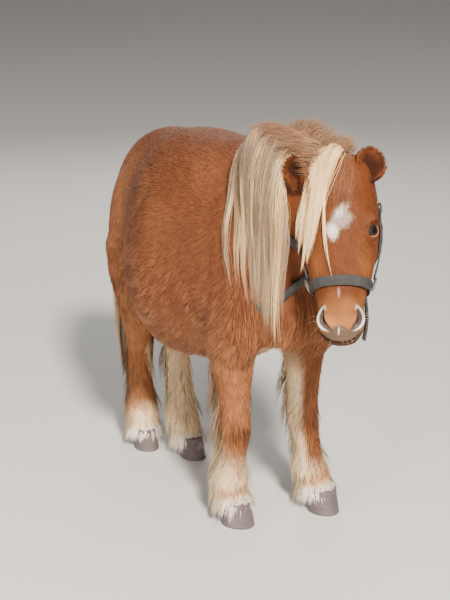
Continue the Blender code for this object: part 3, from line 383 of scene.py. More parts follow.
def nostril_frame(side):
    """Middle of a nostril, its long direction, the way aside from it and the way in."""
    middle = on_head(NOSTRIL_DOWN, side * NOSTRIL_ASIDE, NOSTRIL_OUT)
    way_in = unit(-OUT_OF_FACE * 0.80 - FACE_LEFT * side * 0.60)
    long = DOWN_FACE * 0.95 - FACE_LEFT * side * 0.32
    long = unit(long - way_in * (long @ way_in))
    aside = FACE_LEFT * side
    aside = unit(aside - long * (aside @ long) - way_in * (aside @ way_in))
    return middle, long, aside, way_in


def nostril_place(points, side):
    """Distance from a nostril's curved slit, where its edge is 1, and metres aside and along it."""
    middle, long, aside, way_in = nostril_frame(side)
    away = points - middle
    along = away @ long
    across = away @ aside + NOSTRIL_CURVE * along ** 2 - 0.0015
    reach = np.hypot(along / NOSTRIL_LENGTH, across / NOSTRIL_WIDTH)
    far = (np.abs(away @ way_in) > NOSTRIL_REGION_DEPTH) | (np.abs(along) > NOSTRIL_REGION_LENGTH)
    return reach + 9 * far, across, along


def nostril_rim(points, side, width):
    """1 on a band of a width round a nostril's outer side and upper end, 0 elsewhere."""
    reach, across, along = nostril_place(points, side)
    beyond = np.hypot(along / (NOSTRIL_LENGTH + width), across / (NOSTRIL_WIDTH + width))
    band = smooth(0.90, 1.10, reach) * smooth(1.15, 0.90, beyond) * (reach < 8)
    outer = smooth(-0.0015, 0.0035, across) * smooth(0.026, 0.017, along)
    return band * np.maximum(outer, 0.9 * smooth(-0.015, -0.021, along))


def finer_faces(made, wanted):
    """Splits the faces whose middles are wanted into four."""
    shape = bmesh.new()
    shape.from_mesh(made.data)
    middles = np.array([face.calc_center_median() for face in shape.faces]) - ORIGIN_SHIFT
    chosen = wanted(middles)
    edges = {edge for face, use in zip(shape.faces, chosen) if use for edge in face.edges}
    bmesh.ops.subdivide_edges(shape, edges=list(edges), cuts=1, use_grid_fill=True, smooth=0.0)
    bmesh.ops.triangulate(shape, faces=[face for face in shape.faces if len(face.verts) > 4])
    shape.to_mesh(made.data)
    shape.free()


def near_features(reach):
    """A test for points near an eye, a nostril or the mouth."""
    def wanted(points):
        down, left, out = head_place(points)
        on_muzzle = (down > 0.335 - 2 * reach) & (down < 0.41)
        chosen = on_muzzle & (np.abs(left) < 0.09) & (np.abs(out) < 0.16)
        for side in (-1, 1):
            chosen |= np.linalg.norm(points - eye_centre(side), axis=1) < 0.022 + reach
        return chosen
    return wanted


MOUTH_OUT = -0.021  # the mouth's place at the muzzle's end, out of the face
MOUTH_WIDTH, MOUTH_DEPTH = 0.0030, 0.0075
LIP_OFFSET, LIP_WIDTH, LIP_HEIGHT = 0.0080, 0.0050, 0.0022
CHIN_FOLD = 0.00025  # the height of the fine wrinkles on lips and chin


def mouth_height(points):
    """How far points lie above the mouth's line, which drops back from the muzzle's end."""
    down, _, out = head_place(points)
    return out - MOUTH_OUT + 0.55 * np.clip(0.380 - down, 0, 0.075)


# Hollows of the face, mirrored: down, aside and out, then radius and depth.
HOLLOWS = (
    (0.100, 0.060, -0.020, 0.018, 0.0045),
    (0.205, 0.062, -0.078, 0.026, 0.0040),
    (0.255, 0.046, -0.015, 0.026, 0.0035),
    (0.300, 0.044, -0.022, 0.016, 0.0030),
    (0.312, 0.046, -0.058, 0.016, 0.0030),
)


def shape_face(points, normals):
    """Eye sockets, nostrils, the mouth's line and the hollows of the face, as moves of the skin."""
    down, left, _ = head_place(points)
    moved = points.copy()
    for side in (-1, 1):
        centre = eye_centre(side)
        way_out, front, up = eye_directions(side)
        away = points - centre
        flat = np.hypot((away @ front) / 1.15, away @ up)
        facing = away @ way_out > -0.004
        sunk = smooth(SOCKET_EDGE, SOCKET_FLOOR, flat) * facing
        moved -= np.outer(sunk * np.clip((away @ way_out) - 0.004, 0, 1), way_out)
        for place_down, aside, place_out, radius, depth in HOLLOWS:
            place = on_head(place_down, side * aside, place_out)
            near = np.exp(-(np.linalg.norm(points - place, axis=1) / radius) ** 2)
            moved -= normals * (near * depth)[:, None]
        reach, _, _ = nostril_place(points, side)
        _, _, _, way_in = nostril_frame(side)
        moved += np.outer(smooth(1.30, 0.40, reach) * NOSTRIL_DEPTH, way_in)
        moved += normals * (nostril_rim(points, side, RIM_WIDTH) * RIM_HEIGHT)[:, None]
    height = mouth_height(points)
    on_mouth = smooth(0.300, 0.318, down) * (down < 0.40)
    moved -= normals * (np.exp(-(height / MOUTH_WIDTH) ** 2) * on_mouth * MOUTH_DEPTH)[:, None]
    lip = np.exp(-((np.abs(height) - LIP_OFFSET) / LIP_WIDTH) ** 2) * on_mouth
    moved += normals * (lip * LIP_HEIGHT)[:, None]
    folds = np.sin(down * 900 + 60 * np.abs(left)) * smooth(0.335, 0.350, down) * (down < 0.40)
    moved += normals * (folds * CHIN_FOLD)[:, None]
    return moved


# The crease between the barrel and the haunch, on the right side and mirrored on the left: a wide
# soft hollow with a narrow one along its middle.
CREASE = np.array([
    (-0.100, 0.134, 0.790),
    (-0.112, 0.081, 0.796),
    (-0.148, 0.016, 0.788),
    (-0.168, -0.031, 0.768),
    (-0.186, -0.042, 0.739),
    (-0.200, -0.032, 0.704),
    (-0.205, 0.002, 0.662),
    (-0.204, 0.029, 0.616),
    (-0.180, 0.100, 0.560),
    (-0.145, 0.140, 0.500),
])
CREASE_DEPTHS = np.array([0.5, 0.8, 1.0, 1.0, 0.9, 0.7, 0.4, 0.3, 0.5, 0.8])
HOLLOW_WIDTH, HOLLOW_DEPTH = 0.022, 0.0022
FOLD_WIDTH, FOLD_DEPTH = 0.006, 0.0018


def crease_place(points):
    """How far points lie from the crease, how strong it is there, and which side they are on."""
    mirrored = np.column_stack([-np.abs(points[:, 0]), points[:, 1], points[:, 2]])
    best = np.full(len(points), 1.0)
    strength, behind = np.zeros(len(points)), np.zeros(len(points))
    for a, b, deep, deeper in zip(CREASE, CREASE[1:], CREASE_DEPTHS, CREASE_DEPTHS[1:]):
        share = np.clip((mirrored - a) @ (b - a) / ((b - a) @ (b - a)), 0, 1)
        away = mirrored - a - share[:, None] * (b - a)
        distance = np.linalg.norm(away, axis=1)
        nearer = distance < best
        best = np.where(nearer, distance, best)
        strength = np.where(nearer, deep + (deeper - deep) * share, strength)
        behind = np.where(nearer, away[:, 1], behind)
    return best, strength, behind


def shape_flanks(points, normals):
    """The long hollow between the barrel and each haunch."""
    distance, strength, _ = crease_place(points)
    hollow = HOLLOW_DEPTH * np.exp(-(distance / HOLLOW_WIDTH) ** 2)
    fold = FOLD_DEPTH * np.exp(-(distance / FOLD_WIDTH) ** 2)
    return points - normals * ((hollow + fold) * strength)[:, None]


LEG_JOIN = (0.148, 0.245, 0.550)
LEG_JOIN_RADIUS, LEG_JOIN_ROUNDS = 0.060, 60


def smooth_joins(made):
    """Evens the skin where the top of each hind leg comes out of the haunch."""
    shape = bmesh.new()
    shape.from_mesh(made.data)
    middles = [np.array(LEG_JOIN) * (side, 1, 1) + ORIGIN_SHIFT for side in (-1, 1)]
    rough = [vertex for vertex in shape.verts
             if any(np.linalg.norm(np.array(vertex.co) - middle) < LEG_JOIN_RADIUS for middle in middles)]
    for _ in range(LEG_JOIN_ROUNDS):
        bmesh.ops.smooth_vert(shape, verts=rough, factor=0.5,
                              use_axis_x=True, use_axis_y=True, use_axis_z=True)
    shape.to_mesh(made.data)
    shape.free()


skin = fused_body()
smooth_joins(skin)
points, normals = places_of(skin)
set_places(skin, points - normals * coat_depth(points)[:, None])
points, normals = places_of(skin)
set_places(skin, shape_flanks(points, normals))
for reach in (0.030, 0.012):
    finer_faces(skin, near_features(reach))
points, normals = places_of(skin)
set_places(skin, shape_face(points, normals))

surface_tree = BVHTree.FromPolygons(
    [tuple(v) for v in places_of(skin)[0]], [tuple(p.vertices) for p in skin.data.polygons]
)


NEAR_SKIN = 0.15  # points further off than this are left alone


def kept_off(paths, clearance):
    """Points moved out to a clearance from the skin, where they lie nearer or inside."""
    kept = paths.reshape(-1, 3).copy()
    wanted = np.broadcast_to(clearance, paths.shape[:-1]).ravel()
    for i, (point, least) in enumerate(zip(kept, wanted)):
        near, normal, _, distance = surface_tree.find_nearest(Vector(point))
        if distance > NEAR_SKIN:
            continue
        near, normal = np.array(near), np.array(normal)
        if math.copysign(distance, (point - near) @ normal) < least:
            kept[i] = near + normal * least
    return kept.reshape(paths.shape)


# The colours of hide and coat, linear. One rule gives them to the skin and to the hairs that grow
# from it: chestnut with paler flanks and legs, an orange face and white marks. Painted light lies on
# the haunch, beside the flank's crease and on the right hind leg, and painted shade in the crease,
# under the chin, in the mouth's line and deep in the nostrils.

CHESTNUT = np.array([0.188, 0.060, 0.023])
CHESTNUT_DARK = np.array([0.115, 0.032, 0.013])
CHESTNUT_LIGHT = np.array([0.370, 0.145, 0.055])
ORANGE_FACE = np.array([0.148, 0.040, 0.010])
TAN = np.array([0.400, 0.145, 0.040])
CREAM = np.array([0.950, 0.680, 0.400])
LIP_GREY = np.array([0.080, 0.056, 0.041])
NOSTRIL_GREY = np.array([0.075, 0.056, 0.048])
WHITE = np.array([0.900, 0.790, 0.690])


def wave_noise(points, size, seed):
    """A smooth field from about -1 to 1, whose features are about a size across."""
    waves = np.random.default_rng(seed)
    total = np.zeros(len(points))
    for _ in range(7):
        way = unit(waves.normal(size=3)) / size * waves.uniform(0.7, 1.4) * 2
        total += np.sin(points @ way + waves.uniform(0, 6.3))
    return total / 3.2


def mixed(colours, other, share):
    """Rows of colours, each taken a share of the way to another."""
    return colours + (other - colours) * np.clip(share, 0, 1)[:, None]


def spot(down, left, centre, turn, long, wide, rough):
    """1 in the middle of a slanting oval on the face, with a broken edge, and 0 outside."""
    a, b = down - centre[0], left - centre[1]
    c, s = math.cos(turn), math.sin(turn)
    return smooth(1.25, 0.45, np.hypot((a * c + b * s) / long, (b * c - a * s) / wide) + 0.22 * rough)


# White marks on the face: middle (down, left), turn, half length, half width, strength.
FACE_MARKS = (
    ((0.114, 0.004), -0.6, 0.020, 0.0085, 0.85),
    ((0.152, -0.014), 0.3, 0.016, 0.0125, 0.95),
    ((0.130, 0.014), -0.3, 0.018, 0.0130, 0.40),
    ((0.134, -0.004), 0.0, 0.026, 0.0130, 0.30),
    ((0.282, -0.003), 0.0, 0.012, 0.0030, 0.35),
)
SNIP = ((0.361, -0.004), 0.0, 0.010, 0.0024)  # between the nostrils
RIM_COLOUR_WIDTH = 0.0052


def face_colours(points, soft, fine):
    """An orange face with a broken star, tan muzzle, grey lips and pale nostril rims, and painted shade
    under the chin, in the mouth's line and deep in the nostrils.
    """
    down, left, out = head_place(points)
    face = mixed(np.repeat(ORANGE_FACE[None], len(points), 0), CHESTNUT_DARK, 0.16 * soft)
    face = mixed(face, CHESTNUT, 0.6 * smooth(-0.055, -0.10, out))
    cheek = np.exp(-(((down - 0.235) / 0.05) ** 2 + ((np.abs(left) - 0.050) / 0.016) ** 2))
    face = mixed(face, TAN, 0.35 * cheek)
    face = mixed(face, TAN, 0.85 * smooth(0.272, 0.318, down + 0.004 * fine) * smooth(-0.080, -0.05, out))
    face = face * (1 + 0.09 * fine + 0.07 * soft)[:, None]
    for *mark, strength in FACE_MARKS:
        face = mixed(face, WHITE, strength * spot(down, left, *mark, fine) * (out > -0.03))
    grey = smooth(0.346, 0.356, down + 0.002 * fine - 0.40 * np.clip(np.abs(left) - 0.004, 0, 0.02))
    grey = np.maximum(grey, smooth(0.335, 0.350, down) * smooth(-0.020, -0.030, out))
    face = mixed(face, LIP_GREY, 0.92 * grey)
    face = mixed(face, WHITE * 0.8, 0.85 * spot(down, left, *SNIP, fine) * (out > -0.02))
    height = mouth_height(points)
    # Painted shade: the chin below the mouth's line is darkened, as if in the lips' shadow.
    chin = smooth(0.0, -0.005, height) * smooth(0.30, 0.32, down)
    face = mixed(face, CHESTNUT_DARK * 0.55, 0.85 * chin)
    # Painted shade: a dark line along the mouth, as shade in its groove.
    mouth = np.exp(-(height / 0.0032) ** 2) * smooth(0.305, 0.325, down)
    face = mixed(face, NOSTRIL_GREY * 0.2, mouth)
    for side in (-1, 1):
        reach, _, _ = nostril_place(points, side)
        face = mixed(face, WHITE * 0.88, nostril_rim(points, side, RIM_COLOUR_WIDTH))
        grey_skin = np.repeat(NOSTRIL_GREY[None], len(points), 0)
        # Painted shade: the nostril's grey skin darkens towards its middle, as shade deep in the opening.
        inside = mixed(grey_skin, NOSTRIL_GREY * 0.30, smooth(0.55, 0.1, reach))
        face = face + (inside - face) * smooth(1.12, 0.95, reach)[:, None]
    return face


def markings(points):
    """The coat's colour at points of the skin, with painted light on the haunch and painted light and shade
    at its crease: one rule for skin and hair.
    """
    x, y, z = points.T
    soft = wave_noise(points, 0.055, 1)
    fine = wave_noise(points, 0.012, 2)
    colour = np.repeat(CHESTNUT[None], len(points), 0)
    colour = mixed(colour, CHESTNUT_DARK, 0.18 * smooth(0.68, 0.82, z) + 0.10 * soft)
    # Painted light: a paler band across the haunch, as if lit.
    haunch = smooth(0.12, 0.17, y) * smooth(0.40, 0.48, z) * smooth(0.84, 0.74, z)
    colour = mixed(colour, CHESTNUT_LIGHT, 0.55 * haunch)
    distance, strength, behind = crease_place(points)
    # Painted highlight: a paler band just behind the crease, as if its edge caught the light.
    crease_highlight = np.exp(-((behind - 0.024) / 0.020) ** 2) * np.exp(-(distance / 0.035) ** 2) * strength
    colour = mixed(colour, CHESTNUT_LIGHT, 0.35 * crease_highlight)
    # Painted shade: a thin dark line along the crease, as shade in its fold.
    colour = mixed(colour, CHESTNUT_DARK * 0.5, 0.75 * np.exp(-(distance / 0.0055) ** 2) * strength)
    colour = mixed(colour, CHESTNUT_LIGHT, 0.40 * smooth(0.58, 0.42, z) - 0.12 * soft)
    for name in LEG_LINES:
        colour = leg_colour(name, points, colour, soft, fine)
    between_legs = smooth(0.060, 0.035, np.abs(x)) * smooth(0.44, 0.40, z) * smooth(-0.20, -0.28, y)
    colour = mixed(colour, CREAM * 0.85, between_legs * (1 - head_share(points)))
    face = face_colours(points, soft, fine)
    return np.clip(colour + (face - colour) * head_share(points)[:, None], 0.01, 1)


def leg_colour(name, points, colour, soft, fine):
    """Pale lower legs with chestnut fronts, tan pasterns and a white band at the coronet, and painted light
    on the right hind's upper leg.
    """
    z = points[:, 2]
    away = points - leg_centre(name, z)
    side, forward = leg_directions(name)
    ahead, aside = away @ forward, away @ side
    around = np.hypot(ahead, aside) + 1e-6
    near = around < 0.085
    front = ahead / around
    inner = aside / around * (1 if "right" in name else -1)
    blur = z + 0.012 * soft + 0.006 * fine
    if name == "foreleg_right":
        pale = smooth(0.225, 0.150, blur + 0.030 * front)
        pale = np.maximum(pale, 0.60 * smooth(0.40, 0.30, blur) * smooth(-0.3, -0.9, front))
        colour = mixed(colour, CHESTNUT_LIGHT, 0.5 * near * smooth(0.48, 0.42, z))
    elif name == "foreleg_left":
        pale = smooth(0.19, 0.12, blur + 0.025 * front)
        pale = np.maximum(pale, smooth(0.42, 0.34, blur) * smooth(-0.10, 0.50, inner - 0.35 * front))
    elif name == "hindleg_right":
        pale = smooth(0.135, 0.105, blur)
        # Painted light: the right hind's upper leg is made paler, as if lit where the belly shades it.
        colour = mixed(colour, CHESTNUT_LIGHT * 1.3, 0.7 * smooth(0.42, 0.34, blur) * near)
    else:
        pale = 0.85 * smooth(0.30, 0.24, blur)
    colour = mixed(colour, CREAM, pale * near * smooth(0.44, 0.40, z))
    if name.startswith("fore"):
        knee = np.exp(-((z - 0.232) / 0.022) ** 2) * smooth(0.1, 0.8, front)
        colour = mixed(colour, CHESTNUT_DARK * 0.9, 0.60 * knee * near)
        patch = np.exp(-((z - 0.098 - 0.4 * aside) / 0.013) ** 2) * smooth(-0.6, 0.2, front)
        colour = mixed(colour, TAN * np.array([0.95, 0.85, 0.8]), 0.80 * patch * near)
    band = smooth(0.080, 0.070, z + 0.003 * fine)
    return mixed(colour, WHITE * 0.97, band * near)


def hair_material(name, roughness, sheen):
    """A material for hair, hide and horn, which takes its colour from the mesh's points."""
    material = bpy.data.materials.new(name)
    material.use_nodes = True
    nodes, links = material.node_tree.nodes, material.node_tree.links
    shader = nodes["Principled BSDF"]
    shader.inputs["Roughness"].default_value = roughness
    shader.inputs["Specular IOR Level"].default_value = 0.16
    shader.inputs["Sheen Weight"].default_value = sheen
    shader.inputs["Sheen Roughness"].default_value = 0.5
    tint = nodes.new("ShaderNodeAttribute")
    tint.attribute_name = "tint"
    links.new(tint.outputs["Color"], shader.inputs["Base Color"])
    return material


def grained(material, scale, height, detail=3.0):
    """Adds a fine noise relief, sized in metres, to a material."""
    nodes, links = material.node_tree.nodes, material.node_tree.links
    place = nodes.new("ShaderNodeTexCoord")
    grain = nodes.new("ShaderNodeTexNoise")
    grain.inputs["Scale"].default_value = scale
    grain.inputs["Detail"].default_value = detail
    bump = nodes.new("ShaderNodeBump")
    bump.inputs["Strength"].default_value = 0.6
    bump.inputs["Distance"].default_value = height
    links.new(place.outputs["Object"], grain.inputs["Vector"])
    links.new(grain.outputs["Fac"], bump.inputs["Height"])
    links.new(bump.outputs["Normal"], nodes["Principled BSDF"].inputs["Normal"])
    return grain


skin_material = hair_material("pony_skin", 0.70, 0.0)
grained(skin_material, 900, 0.0008)
coat_material = hair_material("pony_coat", 0.66, 0.03)


def give_tint(made, colours):
    """Stores a colour at each point, where the materials read it."""
    attribute = made.data.attributes.new("tint", "FLOAT_COLOR", "POINT")
    rgba = np.ones((len(colours), 4), np.float32)
    rgba[:, :3] = np.clip(colours, 0, 1)
    attribute.data.foreach_set("color", rgba.ravel())


def unwrapped(made):
    """Adds the UV map OFBake, an unwrap of the object's own shape."""
    made.data.uv_layers.new(name="OFBake")
    bpy.ops.object.select_all(action="DESELECT")
    made.select_set(True)
    bpy.context.view_layer.objects.active = made
    bpy.ops.object.mode_set(mode="EDIT")
    bpy.ops.mesh.select_all(action="SELECT")
    bpy.ops.uv.smart_project(angle_limit=math.radians(66), island_margin=0.002)
    bpy.ops.object.mode_set(mode="OBJECT")


def painted_root_shade(points):
    """The factor that darkens the skin's colour as painted shade under the hair: hardly at the bare lips and
    nostrils.
    """
    down, _, _ = head_place(points)
    return 0.62 + 0.33 * head_share(points) * smooth(0.325, 0.350, down)


skin_points = places_of(skin)[0]
# The skin's colour, darkened by painted shade as if shaded by the hair over it.
give_tint(skin, markings(skin_points) * painted_root_shade(skin_points)[:, None])
unwrapped(skin)
skin.data.materials.clear()
skin.data.materials.append(skin_material)
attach(skin, "root")
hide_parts("head", "neck", "torso", *LEG_LINES)


# The winter coat: short dense hair in tapered tufts that lie back along the body, longer on the
# belly and breast, shortest on the face and feet. Each tuft grows from the skin, lies as the hair of
# that place does, and has the hide's colour there, with painted shade towards its root and, on the
# lower barrel, painted streaks of highlight and shade.

COAT_PIECE_TRIANGLES = 190000
ROOT_PATCH = 0.003  # side of the square round a strand's root on the skin's unwrap that its UVs spread over
TUFTS_PER_LOCK = 9
ROOT_DEPTH = 0.0006
draw = np.random.default_rng(21)  # every hair's chance, from here to the whiskers


def strand_mesh(name, paths, widths, normals, colours, uvs, roundness=0.45):
    """Tapered three-sided strands along paths of k points, each ending in one tip point."""
    n, k = paths.shape[:2]
    along = unit(np.gradient(paths, axis=1))
    across = unit(np.cross(along, np.repeat(normals[:, None], k, 1)))
    ups = np.cross(across, along)
    half = 0.5 * widths[..., None]
    corners = np.stack([paths - across * half, paths + across * half, paths + ups * half * 0.9], 2)
    ring_points = corners[:, :-1].reshape(n, -1, 3)
    points = np.concatenate([ring_points, paths[:, -1:]], 1)
    per = points.shape[1]
    triangles = []
    for ring in range(k - 2):
        for side in range(3):
            a, b = ring * 3 + side, ring * 3 + (side + 1) % 3
            triangles += [(a, b + 3, b), (a, a + 3, b + 3)]
    last = (k - 2) * 3
    triangles += [(last + side, per - 1, last + (side + 1) % 3) for side in range(3)]
    triangles = np.array(triangles)
    faces = (triangles[None] + (np.arange(n) * per)[:, None, None]).reshape(-1, 3)
    point_colours = np.concatenate([np.repeat(colours[:, :-1], 3, 1), colours[:, -1:]], 1)
    own = np.stack([-across * 0.7 + ups * 0.3, across * 0.7 + ups * 0.3, ups], 2)
    own = np.concatenate([own[:, :-1].reshape(n, -1, 3), ups[:, -1:]], 1)
    shading = unit(own * roundness + normals[:, None] * 0.75)
    mesh = bpy.data.meshes.new(name)
    mesh.vertices.add(n * per)
    mesh.vertices.foreach_set("co", (points + ORIGIN_SHIFT).astype(np.float32).ravel())
    mesh.loops.add(faces.size)
    mesh.loops.foreach_set("vertex_index", faces.astype(np.int32).ravel())
    mesh.polygons.add(len(faces))
    mesh.polygons.foreach_set("loop_start", np.arange(0, faces.size, 3, dtype=np.int32))
    mesh.polygons.foreach_set("loop_total", np.full(len(faces), 3, np.int32))
    mesh.polygons.foreach_set("use_smooth", np.ones(len(faces), bool))
    mesh.update(calc_edges=True)
    made = bpy.data.objects.new(name, mesh)
    bpy.context.scene.collection.objects.link(made)
    give_tint(made, point_colours.reshape(-1, 3))
    share = np.linspace(0, 1, k)
    patch = np.zeros((n, per, 2))
    ring_share = np.append(np.repeat(share[:-1], 3), 1.0)
    ring_side = np.append(np.tile([0.0, 1.0, 0.5], k - 1), 0.5)
    patch[..., 0] = uvs[:, None, 0] + ROOT_PATCH * (ring_side[None] - 0.5)
    patch[..., 1] = uvs[:, None, 1] + ROOT_PATCH * (ring_share[None] - 0.5)
    layer = mesh.uv_layers.new(name="OFBake")
    layer.data.foreach_set("uv", patch.reshape(-1, 2)[faces.ravel()].astype(np.float32).ravel())
    mesh.normals_split_custom_set_from_vertices(shading.reshape(-1, 3).astype(np.float32))
    mesh.materials.append(coat_material)
    return made


def strand_pieces(name, paths, widths, normals, colours, uvs, order=None, roundness=0.45):
    """Strands as one piece, or as several where there are many."""
    count, steps = paths.shape[:2]
    pieces = -(-count * (6 * steps - 9) // COAT_PIECE_TRIANGLES)
    order = np.arange(count) if order is None else order
    made = []
    for index, some in enumerate(np.array_split(order, pieces)):
        piece = strand_mesh(f"{name}_{index + 1}" if pieces > 1 else name, paths[some], widths[some],
                            normals[some], colours[some], uvs[some], roundness)
        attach(piece, "root")
        made.append(piece)
    return made


class Ground:
    """Triangles of a surface with their corners' places, normals and UVs, for drawing roots from."""

    def __init__(self, made):
        mesh = made.data
        mesh.calc_loop_triangles()
        count = len(mesh.loop_triangles)
        corners = np.empty(count * 3, np.int32)
        loops = np.empty(count * 3, np.int32)
        mesh.loop_triangles.foreach_get("vertices", corners)
        mesh.loop_triangles.foreach_get("loops", loops)
        corners = corners.reshape(-1, 3)
        points, normals = places_of(made)
        uv = np.empty(len(mesh.loops) * 2)
        mesh.uv_layers["OFBake"].data.foreach_get("uv", uv)
        self.points, self.normals = points[corners], normals[corners]
        self.uv = uv.reshape(-1, 2)[loops].reshape(-1, 3, 2)
        sides = np.cross(self.points[:, 1] - self.points[:, 0], self.points[:, 2] - self.points[:, 0])
        self.area = np.linalg.norm(sides, axis=1) / 2
        self.middles = self.points.mean(1)

    def roots(self, count, density):
        """Random places, normals and UVs, spread by area times density."""
        weight = self.area * density(self.middles)
        chosen = draw.choice(len(weight), count, p=weight / weight.sum())
        a, b = draw.random((2, count))
        flip = a + b > 1
        a, b = np.where(flip, 1 - a, a), np.where(flip, 1 - b, b)
        share = np.stack([1 - a - b, a, b], 1)[..., None]
        return ((self.points[chosen] * share).sum(1), unit((self.normals[chosen] * share).sum(1)),
                (self.uv[chosen] * share).sum(1))


FACE_WHORL = on_head(0.112, 0.0, 0.012)


def hair_lie(points, normals):
    """The way the coat lies at points of the skin, along the surface."""
    _, y, z = points.T
    back, up = 0.75 + 0.25 * smooth(0.60, 0.78, z), -0.72 + 0.50 * smooth(0.60, 0.80, z)
    lie = np.stack([np.zeros(len(z)), back, up], 1)

    def turned(lie, way, share):
        return lie + (np.asarray(way) - lie) * share[:, None]

    lie = turned(lie, (0, 0.35, -0.95), smooth(0.16, 0.26, y))
    lie = turned(lie, (0, 0.50, -0.85), smooth(-0.24, -0.32, y) * smooth(0.56, 0.64, z))
    lie = turned(lie, (0, -0.15, -1.0), smooth(-0.34, -0.40, y) * smooth(0.66, 0.60, z))
    lie = turned(lie, (0, 0.12, -1.0), smooth(0.44, 0.36, z) * (np.abs(normals[:, 2]) < 0.75))
    lie = lie + 0.16 * np.stack([wave_noise(points, 0.07, s) for s in (11, 12, 13)], 1)
    on_face = head_share(points)[:, None]
    lie = lie * (1 - on_face) + unit(points - FACE_WHORL + DOWN_FACE * 0.015) * on_face
    lie = lie - normals * (lie * normals).sum(1, keepdims=True)
    return unit(lie)


STREAK_WIDTH, STREAK_LENGTH = 0.010, 0.060


def streaks(points, lie):
    """A field from about -1 to 1 that runs in streaks along the hair."""
    waves = np.random.default_rng(31)
    across = unit(np.cross(lie, [1.0, 0.0, 0.0]) + 1e-6)
    a, b = (points * across).sum(1) / STREAK_WIDTH, (points * lie).sum(1) / STREAK_LENGTH
    total = np.zeros(len(points))
    for _ in range(8):
        angle = waves.uniform(0, 6.3)
        total += np.sin(a * math.cos(angle) * 3 + b * math.sin(angle) * 3 + waves.uniform(0, 6.3))
    return total / 3.0


def tufts(name, count, density, size, rings=3, pull=0.45, spread=0.05):
    """Tufts of coat on the skin. Size gives length, width and lift at points and normals."""
    roots, normals, uvs = ground.roots(count, density)
    lie = hair_lie(roots, normals)
    length, width, lift = size(roots, normals)
    length = length * draw.uniform(0.7, 1.25, count)
    lift = lift * draw.uniform(0.6, 1.4, count)
    aside = np.cross(normals, lie) * draw.normal(0, 0.16, count)[:, None]
    heading = unit(lie + aside + normals * np.tan(lift)[:, None])
    share = np.linspace(0, 1, rings)[None, :, None]
    reach = length[:, None, None] * share
    paths = roots[:, None] - normals[:, None] * ROOT_DEPTH + heading[:, None] * reach
    paths = paths - normals[:, None] * reach * share * (np.tan(lift) * 0.45)[:, None, None]
    locks = draw.choice(count, max(count // TUFTS_PER_LOCK, 1), replace=False)
    tree = KDTree(len(locks))
    for i, place in enumerate(roots[locks]):
        tree.insert(place, i)
    tree.balance()
    nearest = np.array([tree.find(place)[1] for place in roots])
    towards = paths[locks][nearest, -1] - paths[:, -1]
    towards *= np.minimum(1, 0.45 * length / np.maximum(np.linalg.norm(towards, axis=1), 1e-6))[:, None]
    clump = pull * (0.35 + 0.65 * smooth(0.74, 0.56, roots[:, 2]))[:, None, None]
    paths = paths + towards[:, None] * clump * share ** 1.5
    taper = np.array([1.0, 0.75, 0.0]) if rings == 3 else np.array([1.0, 0.0])
    widths = width[:, None] * taper[None]
    low_barrel = smooth(0.66, 0.52, roots[:, 2]) * smooth(0.38, 0.44, roots[:, 2]) * (1 - head_share(roots))
    local_spread = spread + 0.05 * low_barrel
    light = draw.normal(1.0, 1.0, len(locks))[nearest] * local_spread
    light = 1 + light - local_spread + draw.normal(0, spread, count)
    colours = markings(roots) * light[:, None]
    # Painted highlight and shade: on the lower barrel, streaks along the hair are made paler, as tufts
    # catching the light, and darker between them.
    streak = streaks(roots, lie)
    colours = mixed(colours, CHESTNUT_LIGHT * 1.15, 0.50 * low_barrel * np.clip(streak, 0, 1))
    colours = mixed(colours, CHESTNUT_DARK, 0.35 * low_barrel * np.clip(-streak, 0, 1))
    # Painted shade: each tuft darkens towards its root, as if shaded by the hair round it, and is paler at
    # its tip.
    colours = colours[:, None] * np.linspace(0.78, 1.10, rings)[None, :, None]
    order = np.argsort(roots[:, 1] + 0.3 * roots[:, 0])
    strand_pieces(name, paths, widths, normals, colours, uvs, order, 0.25)


ground = Ground(skin)


# How thickly the tufts stand on body, legs and face, and how long, wide and steep they are there.

def body_density(points):
    return (1 - head_share(points)) * (1 - leg_share(points)) + 1e-6


def body_size(points, normals):
    _, y, z = points.T
    belly = smooth(0.46, 0.36, z) * smooth(-0.1, -0.6, normals[:, 2])
    breast = smooth(-0.33, -0.40, y) * smooth(0.62, 0.54, z)
    length = 0.021 + 0.022 * belly + 0.010 * breast + 0.012 * smooth(0.66, 0.48, z)
    lift = np.radians(11 + 22 * belly + 9 * breast + 4 * smooth(0.60, 0.48, z))
    return length, 0.0020 + 0.0007 * belly, lift


def leg_density(points):
    return leg_share(points) * (1 - head_share(points)) * (1 + 1.2 * smooth(0.22, 0.12, points[:, 2])) + 1e-6


def leg_size(points, normals):
    back = smooth(-0.3, 0.7, normals[:, 1])
    z = points[:, 2]
    low = smooth(0.30, 0.18, z)
    length = 0.019 + 0.014 * back + low * (0.020 + 0.010 * back)
    length = length + 0.020 * smooth(0.090, 0.066, z)
    length = np.minimum(length, np.maximum(0.012, z * 1.10 - 0.010))
    lift = np.radians(16 + 8 * back + 22 * low + 14 * smooth(0.085, 0.060, z))
    return length, np.full(len(z), 0.0019), lift


def face_density(points):
    down, _, _ = head_place(points)
    fade = 1 - 0.9 * smooth(0.342, 0.358, down)
    for side in (-1, 1):
        away = points - eye_centre(side)
        _, front, up = eye_directions(side)
        flat = np.hypot((away @ front) / 1.15, away @ up)
        fade = fade * np.where(np.linalg.norm(away, axis=1) < 0.05, smooth(0.0165, 0.0185, flat), 1)
        reach, _, _ = nostril_place(points, side)
        fade = fade * smooth(1.5, 1.9, reach)
    return head_share(points) * fade + 1e-6


def face_size(points, normals):
    down, _, out = head_place(points)
    muzzle = smooth(0.24, 0.32, down)
    jaw = smooth(-0.09, -0.14, out)
    top = smooth(0.10, 0.03, down)
    length = 0.0100 - 0.0068 * muzzle + 0.012 * jaw * (1 - muzzle) + 0.010 * top
    return length, 0.0014 - 0.0006 * muzzle, np.radians(13 + 8 * jaw)


